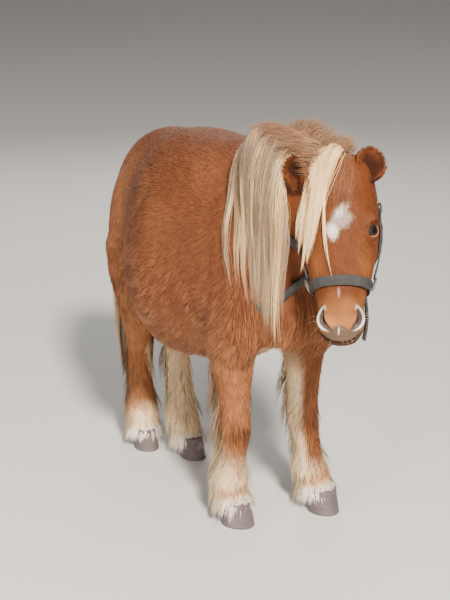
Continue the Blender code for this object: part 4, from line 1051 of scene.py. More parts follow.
BODY_TUFTS, LEG_TUFTS, FACE_TUFTS = ((50000, 26000, 46000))
tufts("coat_body", BODY_TUFTS, body_density, body_size)
tufts("coat_legs", LEG_TUFTS, leg_density, leg_size, spread=0.07)
tufts("coat_face", FACE_TUFTS, face_density, face_size, rings=2, pull=0.2)


# The ears: cupped leaves of gristle under thin hide, with short hair outside, paler at the rim as
# painted light, and hairy insides painted dark as shade in the cup.
# Each is one thin shell with a rounded rim, and stands on the head beside the forelock, its root
# hidden in the mane's short hair.

EAR_LENGTH, EAR_HALF_WIDTH, EAR_DEPTH, EAR_THICKNESS = 0.072, 0.031, 0.020, 0.0035
# Where each ear's root lies: aside, down and out of the face; how it leans: aside and forwards; and
# how far its opening turns aside.
EAR_PLACES = {-1: (0.074, 0.056, -0.024, 0.50, 0.50, 1.10), 1: (0.046, 0.036, -0.040, 0.64, 0.38, 0.30)}
EAR_ROWS, EAR_COLUMNS = 36, 33


def ear_directions(side):
    """Along an ear, out of its opening, and across."""
    *_, aside, forwards, turn = EAR_PLACES[side]
    along = unit(DOWN_FACE * -0.90 + OUT_OF_FACE * forwards + FACE_LEFT * side * aside)
    opening = OUT_OF_FACE + FACE_LEFT * side * turn
    opening = unit(opening - along * (opening @ along))
    return along, opening, np.cross(along, opening)


def ear_root(side):
    aside, down, out, *_ = EAR_PLACES[side]
    return on_head(down, side * aside, out)


def ear_point(side, share, turn, spread):
    """A point of an ear's shell, at a share of its length and of the way round (-1 to 1)."""
    along, opening, across = ear_directions(side)
    width = EAR_HALF_WIDTH * (0.55 + 0.45 * math.sin(math.pi * min(share / 0.6, 1) / 2)) + spread
    depth = EAR_DEPTH * (1 - 0.5 * share) + spread
    wrap = math.radians(150 - 70 * share)
    reach = width * math.sqrt(max(1 - 0.94 * max(share - 0.5, 0) ** 2 * 4, 0.01))
    middle = ear_root(side) + along * EAR_LENGTH * share + FACE_LEFT * side * -0.010 * share ** 2
    angle = wrap * turn
    return middle + across * reach * math.sin(angle) - opening * depth * math.cos(angle)


def ear_shell(side, name):
    """Two skins, inner and outer, with a rounded rim."""
    grids = []
    for spread in (-EAR_THICKNESS / 2, EAR_THICKNESS / 2):
        grid = [[ear_point(side, row / (EAR_ROWS - 1), 2 * column / (EAR_COLUMNS - 1) - 1, spread)
                 for column in range(EAR_COLUMNS)] for row in range(EAR_ROWS)]
        grids.append(grid)
    inner, outer = np.array(grids)
    points = np.vstack([inner.reshape(-1, 3), outer.reshape(-1, 3)])
    half = EAR_ROWS * EAR_COLUMNS
    faces = []
    for i in range(EAR_ROWS - 1):
        for j in range(EAR_COLUMNS - 1):
            a = i * EAR_COLUMNS + j
            faces.append((a, a + EAR_COLUMNS, a + EAR_COLUMNS + 1, a + 1))
            faces.append((half + a, half + a + 1, half + a + EAR_COLUMNS + 1, half + a + EAR_COLUMNS))
    rim = [(0, j) for j in range(EAR_COLUMNS - 1)]
    rim += [(i, EAR_COLUMNS - 1) for i in range(EAR_ROWS - 1)]
    rim += [(EAR_ROWS - 1, j) for j in range(EAR_COLUMNS - 1, 0, -1)]
    rim += [(i, 0) for i in range(EAR_ROWS - 1, 0, -1)]
    for (i, j), (k, m) in zip(rim, rim[1:] + rim[:1]):
        a, b = i * EAR_COLUMNS + j, k * EAR_COLUMNS + m
        faces.append((a, b, half + b, half + a))
    made = mesh_object(name, points, faces, skin_material)
    shape = bmesh.new()
    shape.from_mesh(made.data)
    bmesh.ops.recalc_face_normals(shape, faces=shape.faces)
    shape.to_mesh(made.data)
    shape.free()
    # Painted shade: the inner skin is dark as shade in the cup, and the outer skin's colour is darkened as
    # under the hair.
    give_tint(made, np.repeat([CHESTNUT_DARK * 0.55, ORANGE_FACE * 0.6], half, 0))
    unwrapped(made)
    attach(made, "root")
    return made


def varied(base, spread, root, tip, steps):
    """Hairs' colours, each a little its own, from darker at the root to paler at the tip."""
    own = draw.normal(1, spread, len(base))[:, None, None]
    return base[:, None] * own * np.linspace(root, tip, steps)[None, :, None]


EAR_HAIRS = 4200
EAR_HAIR_TAPER = np.array([1.0, 0.7, 0.0])
for side, word in ((-1, "right"), (1, "left")):
    shell = ear_shell(side, "ear_shell_" + word)
    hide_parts("ear_" + word)
    along, opening, across = ear_directions(side)
    roots, normals, uvs = Ground(shell).roots(EAR_HAIRS, lambda points: np.ones(len(points)))
    away = roots - ear_root(side)
    inside = (normals @ opening > 0.25) & (np.abs(away @ across) < 0.9 * EAR_HALF_WIDTH)
    towards_edge = np.maximum(np.abs(away @ across) / EAR_HALF_WIDTH, (away @ along) / EAR_LENGTH)
    rim = smooth(0.55, 0.95, towards_edge)
    heading = unit(along * 0.8 + np.cross(normals, along) * draw.normal(0, 0.25, EAR_HAIRS)[:, None]
                   + normals * 0.30 + opening * 0.25 * inside[:, None]
                   + across * np.sign(away @ across)[:, None] * (0.25 * rim)[:, None])
    length = (0.0068 + 0.004 * inside + 0.001 * rim) * draw.uniform(0.6, 1.2, EAR_HAIRS)
    share = np.linspace(0, 1, 3)[None, :, None]
    paths = roots[:, None] + heading[:, None] * length[:, None, None] * share
    # Painted shade and light: the hair inside the cup is dark as if shaded, and the hair at the rim paler as
    # if lit.
    base = np.where(inside[:, None], CHESTNUT_DARK * 0.45, ORANGE_FACE * 1.1)
    colours = varied(mixed(base, ORANGE_FACE * 1.5, 0.7 * rim), 0.10, 0.7, 1.15, 3)
    widths = 0.0012 * EAR_HAIR_TAPER[None].repeat(EAR_HAIRS, 0)
    strand_pieces("ear_hair_" + word, paths, widths, normals, colours, uvs)


# The mane: long flaxen hair that grows along the crest and falls to the right in wavy locks. Three
# layers of locks lie over each other, the innermost painted darker as shade, each lock a bunch of
# strands round one curve, spread at its root and gathered at its tip.

HAIR_STEPS = 9
MANE_ROWS, MANE_LAYERS = 30, 3
MANE_END_AT_POLL = np.array([-0.086, -0.482, 0.440])
MANE_END_AT_WITHERS = np.array([-0.140, -0.392, 0.580])
FLAX = np.array([0.600, 0.360, 0.160])
CREAM_HAIR = np.array([0.900, 0.620, 0.320])
SILVER = np.array([0.340, 0.240, 0.165])
TAUPE = np.array([0.260, 0.170, 0.115])
ROAN = np.array([0.235, 0.112, 0.054])


def root_uvs(points):
    """Where the skin's unwrap has the places nearest to points."""
    layer = skin.data.uv_layers["OFBake"].data
    found = np.empty((len(points), 2))
    for i, point in enumerate(points):
        face = skin.data.polygons[surface_tree.find_nearest(Vector(point))[2]]
        found[i] = layer[face.loop_start].uv
    return found


def hanging_curve(start, rise, low, tip):
    """Points of a curve that leaves its start towards rise and reaches its tip from low."""
    share = np.linspace(0, 1, HAIR_STEPS)[:, None]
    rest = 1 - share
    upper = start * rest ** 3 + rise * 3 * rest ** 2 * share
    return upper + low * 3 * rest * share ** 2 + tip * share ** 3


ABOVE_ALL = 1.2


def skin_below(x, y):
    """The top of the skin under a place, or nothing."""
    return surface_tree.ray_cast(Vector((x, y, ABOVE_ALL)), Vector((0, 0, -1)))[0]


def crest_point(share):
    """A point of the crest, from between the ears to the withers."""
    return np.array(skin_below(0.012 * (1 - share), -0.500 + 0.310 * share))


def outward(points):
    """The way out of the skin nearest to points."""
    return unit(np.array([surface_tree.find_nearest(Vector(point))[1] for point in points]))


EAR_PUSH = 0.042  # locks nearer to an ear's axis are moved out to here
EAR_ROOM = 0.034  # and strands that still come nearer than this are left out
EAR_LEAN = 0.012  # how far the hollow lies before the axis


def off_ear(points, side, lowest):
    """The way to points from the nearest place of an ear's axis."""
    along, _, _ = ear_directions(side)
    away = points - ear_root(side)
    share = np.clip(away @ along, lowest, EAR_LENGTH)
    return away - share[..., None] * along


def misses_ears(paths):
    """Which strands stay off the ears' hollows, also between their points."""
    parts = (0, 0.25, 0.5, 0.75)
    finer = np.concatenate([paths[:, :-1] + (paths[:, 1:] - paths[:, :-1]) * part for part in parts], 1)
    clear = np.ones(len(paths), bool)
    for side in (-1, 1):
        opening = ear_directions(side)[1]
        off = off_ear(finer - opening * EAR_LEAN, side, 0)
        clear &= np.linalg.norm(off, axis=-1).min(1) > EAR_ROOM
    return clear


def clear_of_ears(paths):
    """Points moved off the ears, back along the neck."""
    for side in (-1, 1):
        opening = ear_directions(side)[1]
        off = off_ear(paths, side, -0.01)
        distance = np.linalg.norm(off, axis=-1, keepdims=True)
        way = unit(off + Y * EAR_LEAN - opening * EAR_LEAN)
        paths = paths + way * np.clip(EAR_PUSH - distance, 0, EAR_PUSH)
    return paths


def lock_strands(guides, per_lock, radius, flat, wave):
    """Strands round guide curves: spread at the root, wavy together, and gathered at the tip."""
    locks, steps = guides.shape[:2]
    index = np.repeat(np.arange(locks), per_lock)
    count = len(index)
    share = np.linspace(0, 1, steps)[None]
    place = share * draw.uniform(0.82, 1.0, count)[:, None] * (steps - 1)
    low = np.minimum(place.astype(int), steps - 2)
    part = (place - low)[..., None]
    paths = guides[index[:, None], low] * (1 - part) + guides[index[:, None], low + 1] * part
    along = unit(np.gradient(paths, axis=1))
    ways = outward(guides[:, steps // 2])[index][:, None]
    side = unit(np.cross(along, ways))
    up = np.cross(side, along)
    angle, reach = draw.uniform(0, 2 * math.pi, count)[:, None], np.sqrt(draw.random(count))[:, None]
    stray = 1 + 1.8 * (draw.random(count) < 0.06)[:, None] * share
    thick = draw.uniform(0.6, 1.5, locks)[index][:, None]
    swell = 0.75 + 0.25 * np.sin(math.pi * np.minimum(share * 1.4, 1))
    profile = radius * stray * thick * swell * (1 - 0.7 * share ** 1.5)
    turns = draw.uniform(1.2, 2.3, locks)[index][:, None]
    phase = draw.uniform(0, 6.3, locks)[index][:, None] + draw.normal(0, 0.35, count)[:, None]
    swing = wave * share ** 0.8 * np.sin(2 * math.pi * turns * share + phase)
    lean = wave * 0.5 * share * np.cos(2 * math.pi * turns * share + phase * 1.3)
    paths = paths + side * (np.cos(angle) * reach * profile + swing)[..., None]
    paths = paths + up * (np.sin(angle) * reach * profile * flat + lean)[..., None]
    return paths, ways[:, 0], index


def hair_colours(palette, index, root_colour, root_reach):
    """Each strand has its lock's colour, a little its own, some darkened as painted shade between the locks,
    and is darker at the root.
    """
    count = len(index)
    base = palette[index] * draw.normal(1, 0.13, count)[:, None]
    # Painted shade: one strand in seven is darkened, as shade between the locks.
    dark = draw.random(count) < 0.14
    base = np.where(dark[:, None], base * 0.62, base)
    share = np.linspace(0, 1, HAIR_STEPS)[None, :, None]
    colours = base[:, None] * (0.90 + 0.14 * np.sin(math.pi * share * 0.9))
    return colours + (root_colour - colours) * smooth(root_reach, 0.0, share)


def lock_palette(kinds, chances, locks):
    """A colour for each lock, drawn from the kinds by their chances and varied a little."""
    chosen = draw.choice(len(kinds), locks + 1, p=chances)[:-1]
    return np.array(kinds)[chosen] * draw.normal(1, 0.09, locks)[:, None]


def tapered(width, end, count, steps=HAIR_STEPS):
    """The widths of hairs that thin evenly towards their tips."""
    return width * np.linspace(1, end, steps)[None].repeat(count, 0)


def mane_guides():
    """Locks over the right of the neck, ordered from the poll to the withers, in layers."""
    guides = []
    for layer in range(MANE_LAYERS):
        depth = (layer + 1) / MANE_LAYERS
        for row in range(MANE_ROWS):
            share = (row + draw.uniform(-0.4, 0.4)) / (MANE_ROWS - 1)
            share = min(max(share, 0), 1)
            start = crest_point(0.04 + 0.74 * share) + np.array([draw.uniform(-0.012, 0.010), 0, 0])
            up = (0.35 + 0.65 * depth) * (1 - 0.62 * share) * draw.uniform(0.85, 1.10)
            rise = start + np.array([-0.075 * (0.5 + 0.5 * depth), 0.010 - 0.035 * share, 0.122 * up])
            tip = MANE_END_AT_POLL * (1 - share) + MANE_END_AT_WITHERS * share
            shorter = 0.08 * (1 - depth) + 0.17 * draw.random() ** 2.2
            tip = tip + np.array([draw.uniform(-0.012, 0.006), draw.uniform(-0.016, 0.016), shorter])
            low = tip + np.array([-0.004, 0.060 * share - 0.010, 0.20])
            guides.append(hanging_curve(start, rise, low, tip))
    guides = clear_of_ears(np.array(guides))
    clearance = np.repeat(np.linspace(0.004, 0.016, MANE_LAYERS), MANE_ROWS)[:, None]
    return kept_off(guides, clearance * np.ones(HAIR_STEPS))


guides = mane_guides()
per_lock = 46
paths, ways, index = lock_strands(guides, per_lock, 0.0160, 0.60, 0.0065)
paths = kept_off(clear_of_ears(paths), 0.002)
kept = misses_ears(paths)
paths, ways, index = paths[kept], ways[kept], index[kept]
locks = len(guides)
palette = lock_palette((CREAM_HAIR, FLAX, SILVER, TAUPE), (0.52, 0.18, 0.20, 0.10), locks)
# Painted shade: the inner layer of locks, which lies under the others, is darkened.
shaded_inner_layer = np.arange(locks) < MANE_ROWS
palette = np.where(shaded_inner_layer[:, None], palette * 0.70, palette)
middle = np.exp(-((np.arange(locks) % MANE_ROWS - MANE_ROWS / 2) / 7.0) ** 2)
palette = mixed(palette, SILVER, 0.70 * middle * draw.uniform(0.4, 1.2, locks))
widths = tapered(0.0013, 0.25, len(index)) * draw.uniform(0.7, 1.3, len(index))[:, None]
colours = hair_colours(palette, index, ROAN * 1.3, 0.36)
mane = strand_pieces("mane_hair", paths, widths, ways, colours, root_uvs(paths[:, 0]))
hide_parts("mane")


# The puff: the mane's short hair, roan and taupe, that stands all along the crest and over the poll on
# both sides, and hides the roots of the long locks. It bends over outward at its tips.

PUFFS = 7000
PUFF_STEPS = 4
PUFF_TAPER = np.array([1.0, 0.85, 0.6, 0.0])
PUFF_HALF_WIDTH = 0.024
PUFF_LOWEST_ROOT, PUFF_TOP = 0.78, 0.962
share = draw.random(PUFFS) ** 1.2
width = PUFF_HALF_WIDTH * np.clip(draw.normal(0, 1, PUFFS), -2, 2)
roots = []
for s, w in zip(share, width):
    hit = skin_below(0.002 * (1 - s) + w, -0.520 + 0.300 * s)
    roots.append(hit if hit and hit[2] > PUFF_LOWEST_ROOT else crest_point(s))
roots = np.array(roots)
normals = outward(roots)
aside = np.where(roots[:, :1] < 0.010, -1.0, 1.0) * X
length = (0.046 + 0.040 * draw.random(PUFFS)) * (0.55 + 0.45 * smooth(0.05, 0.02, np.abs(width)))
length = length * (1 - 0.60 * smooth(0.55, 1.0, share))
first = unit(normals * 0.6 + Z * 0.8 + aside * 0.25 + draw.normal(0, 0.16, (PUFFS, 3)))
fall = unit(aside * 1.0 - Z * 0.1 + Y * draw.normal(0.2, 0.3, (PUFFS, 1)))
steps = np.linspace(0, 1, PUFF_STEPS)[None, :, None]
bend = first[:, None] * steps * (1 - 0.4 * steps) + fall[:, None] * steps ** 2 * 0.6
paths = kept_off(roots[:, None] + bend * length[:, None, None], 0.001)
paths[..., 2] = np.minimum(paths[..., 2], PUFF_TOP - 0.004 * draw.random((PUFFS, 1)))
base = mixed(np.repeat(ROAN[None], PUFFS, 0), TAUPE * 1.2, draw.random(PUFFS) * 0.5)
colours = varied(base, 0.12, 0.70, 1.25, PUFF_STEPS)
widths = 0.0013 * PUFF_TAPER[None].repeat(PUFFS, 0)
kept = misses_ears(paths)
strand_pieces("mane_puff", paths[kept], widths[kept], normals[kept], colours[kept],
              root_uvs(roots[kept]))


# The forelock: the mane's hair in front of the ears, which rises from the poll and falls over the
# right of the forehead in cream and flax locks, with one thin strand of its own further in.

# Its locks: how far left they start on the poll, and where they end: down, left and out of the face.
FORELOCK_TIPS = (
    (0.008, 0.150, -0.046, 0.010),
    (0.004, 0.185, -0.054, 0.006),
    (0.000, 0.215, -0.062, 0.002),
    (-0.004, 0.175, -0.064, 0.000),
    (-0.008, 0.225, -0.070, -0.004),
    (-0.012, 0.190, -0.076, -0.008),
    (-0.016, 0.240, -0.080, -0.014),
    (-0.020, 0.200, -0.086, -0.020),
    (-0.024, 0.170, -0.088, -0.026),
    (0.002, 0.130, -0.040, 0.010),
    (-0.010, 0.150, -0.064, 0.000),
)


def forelock_guide(left, down, tip_left, out, bow=0.012):
    start = on_head(0.000, left, -0.014)
    rise = start + Z * 0.085 + FACE_FORWARD * 0.045 - FACE_LEFT * 0.012
    tip = on_head(down, tip_left, out)
    low = tip - DOWN_FACE * 0.10 + OUT_OF_FACE * 0.016 + FACE_LEFT * bow
    return hanging_curve(start, rise, low, tip)


guides = kept_off(np.array([forelock_guide(*row) for row in FORELOCK_TIPS]), 0.008)
per_lock = 100
paths, ways, index = lock_strands(guides, per_lock, 0.0125, 0.55, 0.0030)
paths = kept_off(paths, 0.002)
palette = lock_palette((CREAM_HAIR, FLAX), (0.7, 0.3), len(guides))
widths = tapered(0.0014, 0.35, len(index))
colours = hair_colours(palette, index, ROAN, 0.38)
forelock = strand_pieces("forelock_hair", paths, widths, ways, colours,
                         root_uvs(paths[:, 0]))
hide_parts("forelock")

# The thin strand's two locks, with the same four measures and a bow to the right.
WISP_TIPS = ((-0.006, 0.262, -0.015, 0.004, -0.034), (-0.004, 0.225, -0.024, 0.006, -0.026))
WISP_HAIRS = 26
guides = kept_off(np.array([forelock_guide(*row) for row in WISP_TIPS]), 0.004)
paths, ways, index = lock_strands(guides, WISP_HAIRS, 0.0035, 0.6, 0.0020)
paths = kept_off(paths, 0.0015)
widths = tapered(0.0011, 0.4, len(index))
colours = hair_colours(np.array([CREAM_HAIR, CREAM_HAIR]), index, ROAN, 0.4)
strand_pieces("forelock_wisp", paths, widths, ways, colours, root_uvs(paths[:, 0]))


# The forehead's hair: the longest hair of the head's coat, orange-brown, which lies down from between
# the ears. It covers the short hair of the forehead loosely and stands off it in the middle.

VEIL = 1300
VEIL_STEPS = 6
left, down = draw.uniform(-0.050, 0.034, VEIL), draw.uniform(-0.006, 0.060, VEIL)
start = kept_off(on_head(0, 0, 0) + np.outer(down, DOWN_FACE) + np.outer(left, FACE_LEFT)
                 + np.outer(np.full(VEIL, 0.010), OUT_OF_FACE), 0.0)
reach = 0.016 + 0.060 * draw.random(VEIL) ** 1.3
end = start + np.outer(reach, DOWN_FACE) - np.outer(0.20 * np.abs(left) + 0.006, FACE_LEFT)
steps = np.linspace(0, 1, VEIL_STEPS)[None, :, None]
lift = draw.uniform(0.003, 0.013, VEIL)[:, None, None] * np.sin(math.pi * steps * 0.8)
paths = start[:, None] * (1 - steps) + end[:, None] * steps
ways = outward(paths[:, 2])
paths = kept_off(paths + ways[:, None] * lift, 0.0008)
base = mixed(np.repeat(ORANGE_FACE[None] * 1.1, VEIL, 0), TAUPE, draw.random(VEIL) * 0.35)
colours = varied(base, 0.12, 0.75, 1.25, VEIL_STEPS)
widths = tapered(0.0010, 0.3, VEIL, VEIL_STEPS)
strand_pieces("forehead_hair", paths, widths, ways, colours, root_uvs(start))


# The tail: long hair of cream, flax, tan and taupe that grows on the dock under the croup and hangs
# nearly to the ground. Its locks start all round the dock and along it, and fill a slim bell that is
# widest above the hocks.

# Each station of the bell: y, z, half width, half depth.
TAIL_STATIONS = (
    (0.370, 0.745, 0.022, 0.022),
    (0.412, 0.705, 0.032, 0.026),
    (0.428, 0.600, 0.046, 0.034),
    (0.428, 0.480, 0.056, 0.040),
    (0.424, 0.340, 0.060, 0.042),
    (0.418, 0.200, 0.052, 0.038),
    (0.412, 0.100, 0.036, 0.028),
    (0.408, 0.035, 0.010, 0.010),
)
TAIL_MIDDLE = np.array([0, 0.415, 0])
TAIL_LOCKS = 26
GOLDEN_STEP = 0.618  # of a turn from lock to lock, so that they spread evenly
guides = []
for lock in range(TAIL_LOCKS):
    angle = 2 * math.pi * (lock * GOLDEN_STEP % 1)
    top, end = 0.30 * (lock / TAIL_LOCKS) ** 1.5, draw.uniform(0.78, 0.98)
    reach = math.sqrt(draw.uniform(0.15, 1.0))
    points = []
    for part in np.linspace(0, 1, HAIR_STEPS):
        y, z, half, depth = between(TAIL_STATIONS, top + (end - top) * part)
        out = reach * (0.45 + 0.5 * math.sin(math.pi * min(part / 0.5, 1) / 2))
        points.append((half * out * math.cos(angle), y + depth * out * math.sin(angle), z))
    guides.append(points)
guides = np.array(guides)
per_lock = 52
paths, _, index = lock_strands(guides, per_lock, 0.013, 0.9, 0.0040)
ways = unit((paths[:, HAIR_STEPS // 2 + 1] - TAIL_MIDDLE) * np.array([1, 1, 0]))
palette = lock_palette((CREAM_HAIR, FLAX, TAN, TAUPE), (0.30, 0.32, 0.22, 0.16), TAIL_LOCKS)
widths = tapered(0.0016, 0.3, len(index))
colours = hair_colours(palette, index, CHESTNUT_LIGHT, 0.30)
tail = strand_pieces("tail_hair", paths, widths, ways, colours, root_uvs(paths[:, 0]))
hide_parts("tail")


# The feathers: long pale hair behind each leg, from the elbow or the hock down over the fetlock. It
# grows from the back of the leg in small bunches, stands off the bone and hangs towards the heel.

FEATHER_STEPS = 5
FEATHER_FOOT, FORE_FEATHER_TOP, HIND_FEATHER_TOP = 0.070, 0.400, 0.270
FORE_FEATHERS, HIND_FEATHERS = ((1700, 1200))
FEATHER_STAND = 0.034
for name in LEG_LINES:
    side_way, forward = leg_directions(name)
    if name.startswith("fore"):
        top, count = FORE_FEATHER_TOP, FORE_FEATHERS
    else:
        top, count = HIND_FEATHER_TOP, HIND_FEATHERS
    height = FEATHER_FOOT + (top - FEATHER_FOOT) * draw.random(count) ** 1.15
    swing = draw.normal(0, 1, count) * (0.50 + 0.50 * smooth(0.20, 0.14, height))
    lock = np.round(height * 50) / 50 + 0.01 * np.round(swing * 2)
    back = -forward * np.cos(swing)[:, None] + side_way * np.sin(swing)[:, None]
    drop = np.minimum(draw.uniform(0.050, 0.100, count), height - 0.020)
    stand = FEATHER_STAND * (0.66 + 0.34 * np.cos(swing)) * (0.70 + 0.5 * np.sin(lock * 900) ** 2)
    paths = np.empty((count, FEATHER_STEPS, 3))
    rows = np.array(leg_rows(name))[::-1]
    for step in range(FEATHER_STEPS):
        part = step / (FEATHER_STEPS - 1)
        low = height - drop * part
        centre = leg_centre(name, np.maximum(low, CORONET_HEIGHT + 0.004))
        around = (swing + 0.30 * (np.sin(lock * 700) * part))[:, None]
        way = -forward * np.cos(around) + side_way * np.sin(around)
        level = np.maximum(low, CORONET_HEIGHT)
        deep = np.interp(level, rows[:, 0], rows[:, 3])
        wide = np.interp(level, rows[:, 0], rows[:, 1])
        reach = np.hypot(deep * np.cos(around[:, 0]), wide * np.sin(around[:, 0])) - 0.006
        place = centre + way * (reach + stand * part ** 0.7)[:, None]
        place[:, 2] = low
        paths[:, step] = place
    base = mixed(markings(paths[:, 0] - back * 0.004), CREAM, 0.15 + 0.45 * smooth(0.34, 0.16, height))
    if name == "hindleg_right":
        base = mixed(base, CHESTNUT_LIGHT, smooth(0.11, 0.15, height) * 0.8)
    colours = varied(base, 0.10, 0.80, 1.12, FEATHER_STEPS)
    widths = tapered(0.0016, 0.35, count, FEATHER_STEPS)
    strand_pieces("feather_" + name, paths, widths, back, colours, root_uvs(paths[:, 0]))


# The hooves: blunt cones of grey-brown horn, with fine growth rings and a toe that slopes forward.
# They stand flat on the ground and take the leg's skin in at the coronet.

HOOF_GREY = np.array([0.135, 0.108, 0.104])
HOOF_RADIUS = 0.0365
HIND_HOOF_SHARE = 0.85
HOOF_TOE = 0.012  # how far the toe reaches forward on the ground
HOOF_EDGE = 0.0015
HOOF_RINGS, HOOF_CORNERS = 44, 48
horn = hair_material("horn", 0.50, 0.0)
grained(horn, 350, 0.0006)
for name in LEG_LINES:
    side_way, forward = leg_directions(name)
    size = HOOF_RADIUS * (1.0 if name.startswith("fore") else HIND_HOOF_SHARE)
    foot = leg_centre(name, 0.0)
    rings = []
    shades = []
    for share in np.linspace(0, 1, HOOF_RINGS):
        height = (CORONET_HEIGHT + 0.002) * share
        ripple = (0.00022 * math.sin(share * 74) + 0.0003 * math.sin(share * 23)) * (0.1 < share < 0.95)
        radius = size * (1 - 0.16 * share) + ripple - (HOOF_EDGE if share == 0 else 0)
        ring = section(foot, side_way, forward, radius, radius, radius, HOOF_CORNERS)
        ahead = np.clip((ring - foot) @ forward, 0, 1) / HOOF_RADIUS
        ring = ring + np.outer(HOOF_TOE * (1 - share) * ahead + 0.004, forward) + Z * height
        rings.append(ring)
        around = wave_noise(ring, 0.018, 5)
        shades.append(HOOF_GREY * (1 + 0.14 * np.sin(share * 60 + around) + 0.12 * around)[:, None])
    points, faces = loft(rings)
    made = mesh_object(name.replace("leg", "hoof") + "_horn", points, faces, horn)
    give_tint(made, np.vstack([np.vstack(shades), HOOF_GREY, HOOF_GREY]))
    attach(made, "root")
    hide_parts(name.replace("leg", "hoof"))


# The eyes: dark glass balls that look wet, with a brown iris and a lying pupil, set into the sockets.
# Two lids of hide lie on each ball, the upper with a dark rim and the lower with a pale one.

LID_LENGTH, LID_ABOVE, LID_BELOW = 0.0160, 0.0096, 0.0088  # the opening's half length and heights
LID_EDGE_LENGTH, LID_EDGE_HEIGHT = 0.0275, 0.0245  # where the lids meet the skin
LID_GAP, LID_THICKNESS, LID_FOLD = 0.0003, 0.0021, 0.0010
LID_COLUMNS, LID_ROWS = 64, 16
IRIS_BROWN = np.array([0.009, 0.004, 0.003])
eye_dark = hair_material("eye_dark", 0.16, 0.0)
eye_dark.node_tree.nodes["Principled BSDF"].inputs["Specular IOR Level"].default_value = 0.30


def iris_tint(points, centre, front, up):
    """A brown iris with fine rays round a lying pupil, darker at its edge."""
    away = unit(points - centre)
    ahead, high = away @ front, away @ up
    rays = 1 + 0.25 * np.sin(40 * np.arctan2(high, ahead))
    pupil = smooth(1.0, 0.8, np.hypot(ahead / 0.34, high / 0.17))
    edge = smooth(0.55, 0.72, np.hypot(ahead, high))
    return np.outer(rays * (1 - 0.9 * pupil) * (1 - 0.6 * edge), IRIS_BROWN)


def lid_place(centre, way_out, front, up, angle, share):
    """A point of the lids, from the opening's rim at share 0 to under the skin at 1."""
    s = math.sin(angle)
    lift = (LID_ABOVE if s > 0 else LID_BELOW) * math.copysign(abs(s) ** 1.2, s)
    edge = front * LID_LENGTH * math.cos(angle) + up * lift
    far = front * LID_EDGE_LENGTH * math.cos(angle) + up * LID_EDGE_HEIGHT * s
    flat = edge + (far - edge) * share
    ray = unit(flat + way_out * EYE_RADIUS * (0.95 - 0.40 * share))
    fold = LID_FOLD * math.exp(-((share - 0.34) / 0.09) ** 2)
    on_ball = centre + ray * (EYE_RADIUS + LID_GAP + LID_THICKNESS * smooth(0, 0.14, share) - fold)
    hit = surface_tree.ray_cast(Vector(centre + flat + way_out * 0.05), Vector(-way_out))[0]
    on_skin = np.array(hit) - way_out * 0.0015 if hit else on_ball
    blend = smooth(0.45, 0.95, share)
    return on_ball * (1 - blend) + on_skin * blend


def lid_tint(places, share, high):
    """The face's colour darkened as painted shade under the hair, with a dark upper rim, painted shade over
    the upper lid and its fold, and a pale lower rim.
    """
    lower = high < -0.001
    rim_colour = np.where(lower[:, None], TAN * 1.5, NOSTRIL_GREY * 0.15)
    # Painted shade: the face's colour, darkened as the skin's is under the hair.
    tint = markings(places) * 0.62
    tint = mixed(tint, rim_colour, smooth(0.20, 0.12, share) * np.where(lower, 0.75, 0.95))
    tint = mixed(tint, NOSTRIL_GREY * 0.15, smooth(0.09, 0.04, share))
    # Painted shade: the upper lid and its fold are darkened, as shade above the eye.
    return mixed(tint, NOSTRIL_GREY * 0.3, smooth(0.45, 0.20, share) * smooth(0.002, 0.008, high) * 0.8)


for side, word in ((-1, "right"), (1, "left")):
    centre = eye_centre(side)
    way_out, front, up = eye_directions(side)
    points, faces = ellipsoid(centre, (front, up, way_out), (EYE_RADIUS,) * 3, 48, 32)
    ball = mesh_object("eyeball_" + word, points, faces, eye_dark)
    give_tint(ball, iris_tint(np.array(points), centre, front, up))
    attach(ball, "root")
    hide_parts("eye_" + word)
    shares = np.linspace(0, 1, LID_ROWS)
    places = np.array([lid_place(centre, way_out, front, up, 2 * math.pi * column / LID_COLUMNS, share)
                       for column in range(LID_COLUMNS) for share in shares])
    faces = []
    for i in range(LID_COLUMNS):
        for j in range(LID_ROWS - 1):
            a, b = i * LID_ROWS + j, (i + 1) % LID_COLUMNS * LID_ROWS + j
            faces.append((a, b, b + 1, a + 1))
    lids = mesh_object("lids_" + word, places, faces, skin_material)
    give_tint(lids, lid_tint(places, np.tile(shares, LID_COLUMNS), (places - centre) @ up))
    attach(lids, "root")


# The whiskers: single stiff, pale hairs that grow from the lips and the chin and droop at their tips.
# They stand far apart, and each is one to three centimetres long.

WHISKERS, WHISKER_STEPS = 40, 5


def whisker_density(points):
    """1 on the lips and the chin, 0 above the nostrils and on the rest."""
    low = smooth(0.30, 0.33, head_place(points)[0])
    return head_share(points) * low * (mouth_height(points) < 0.03) + 1e-9


roots, normals, uvs = ground.roots(WHISKERS, whisker_density)
share = np.linspace(0, 1, WHISKER_STEPS)[None, :, None]
length = draw.uniform(0.012, 0.034, WHISKERS)[:, None, None]
heading = unit(normals + draw.normal(0, 0.25, (WHISKERS, 3)))
paths = roots[:, None] + (heading[:, None] * share - Z * 0.35 * share ** 2) * length
widths = tapered(0.00035, 0.4, WHISKERS, WHISKER_STEPS)
colours = np.full((WHISKERS, WHISKER_STEPS, 3), CREAM * 0.9)
strand_pieces("whiskers", paths, widths, normals, colours, uvs)


# The lashes: a row of short black hairs along the rim of each upper lid. They grow out over the ball
# and bend down towards their tips.

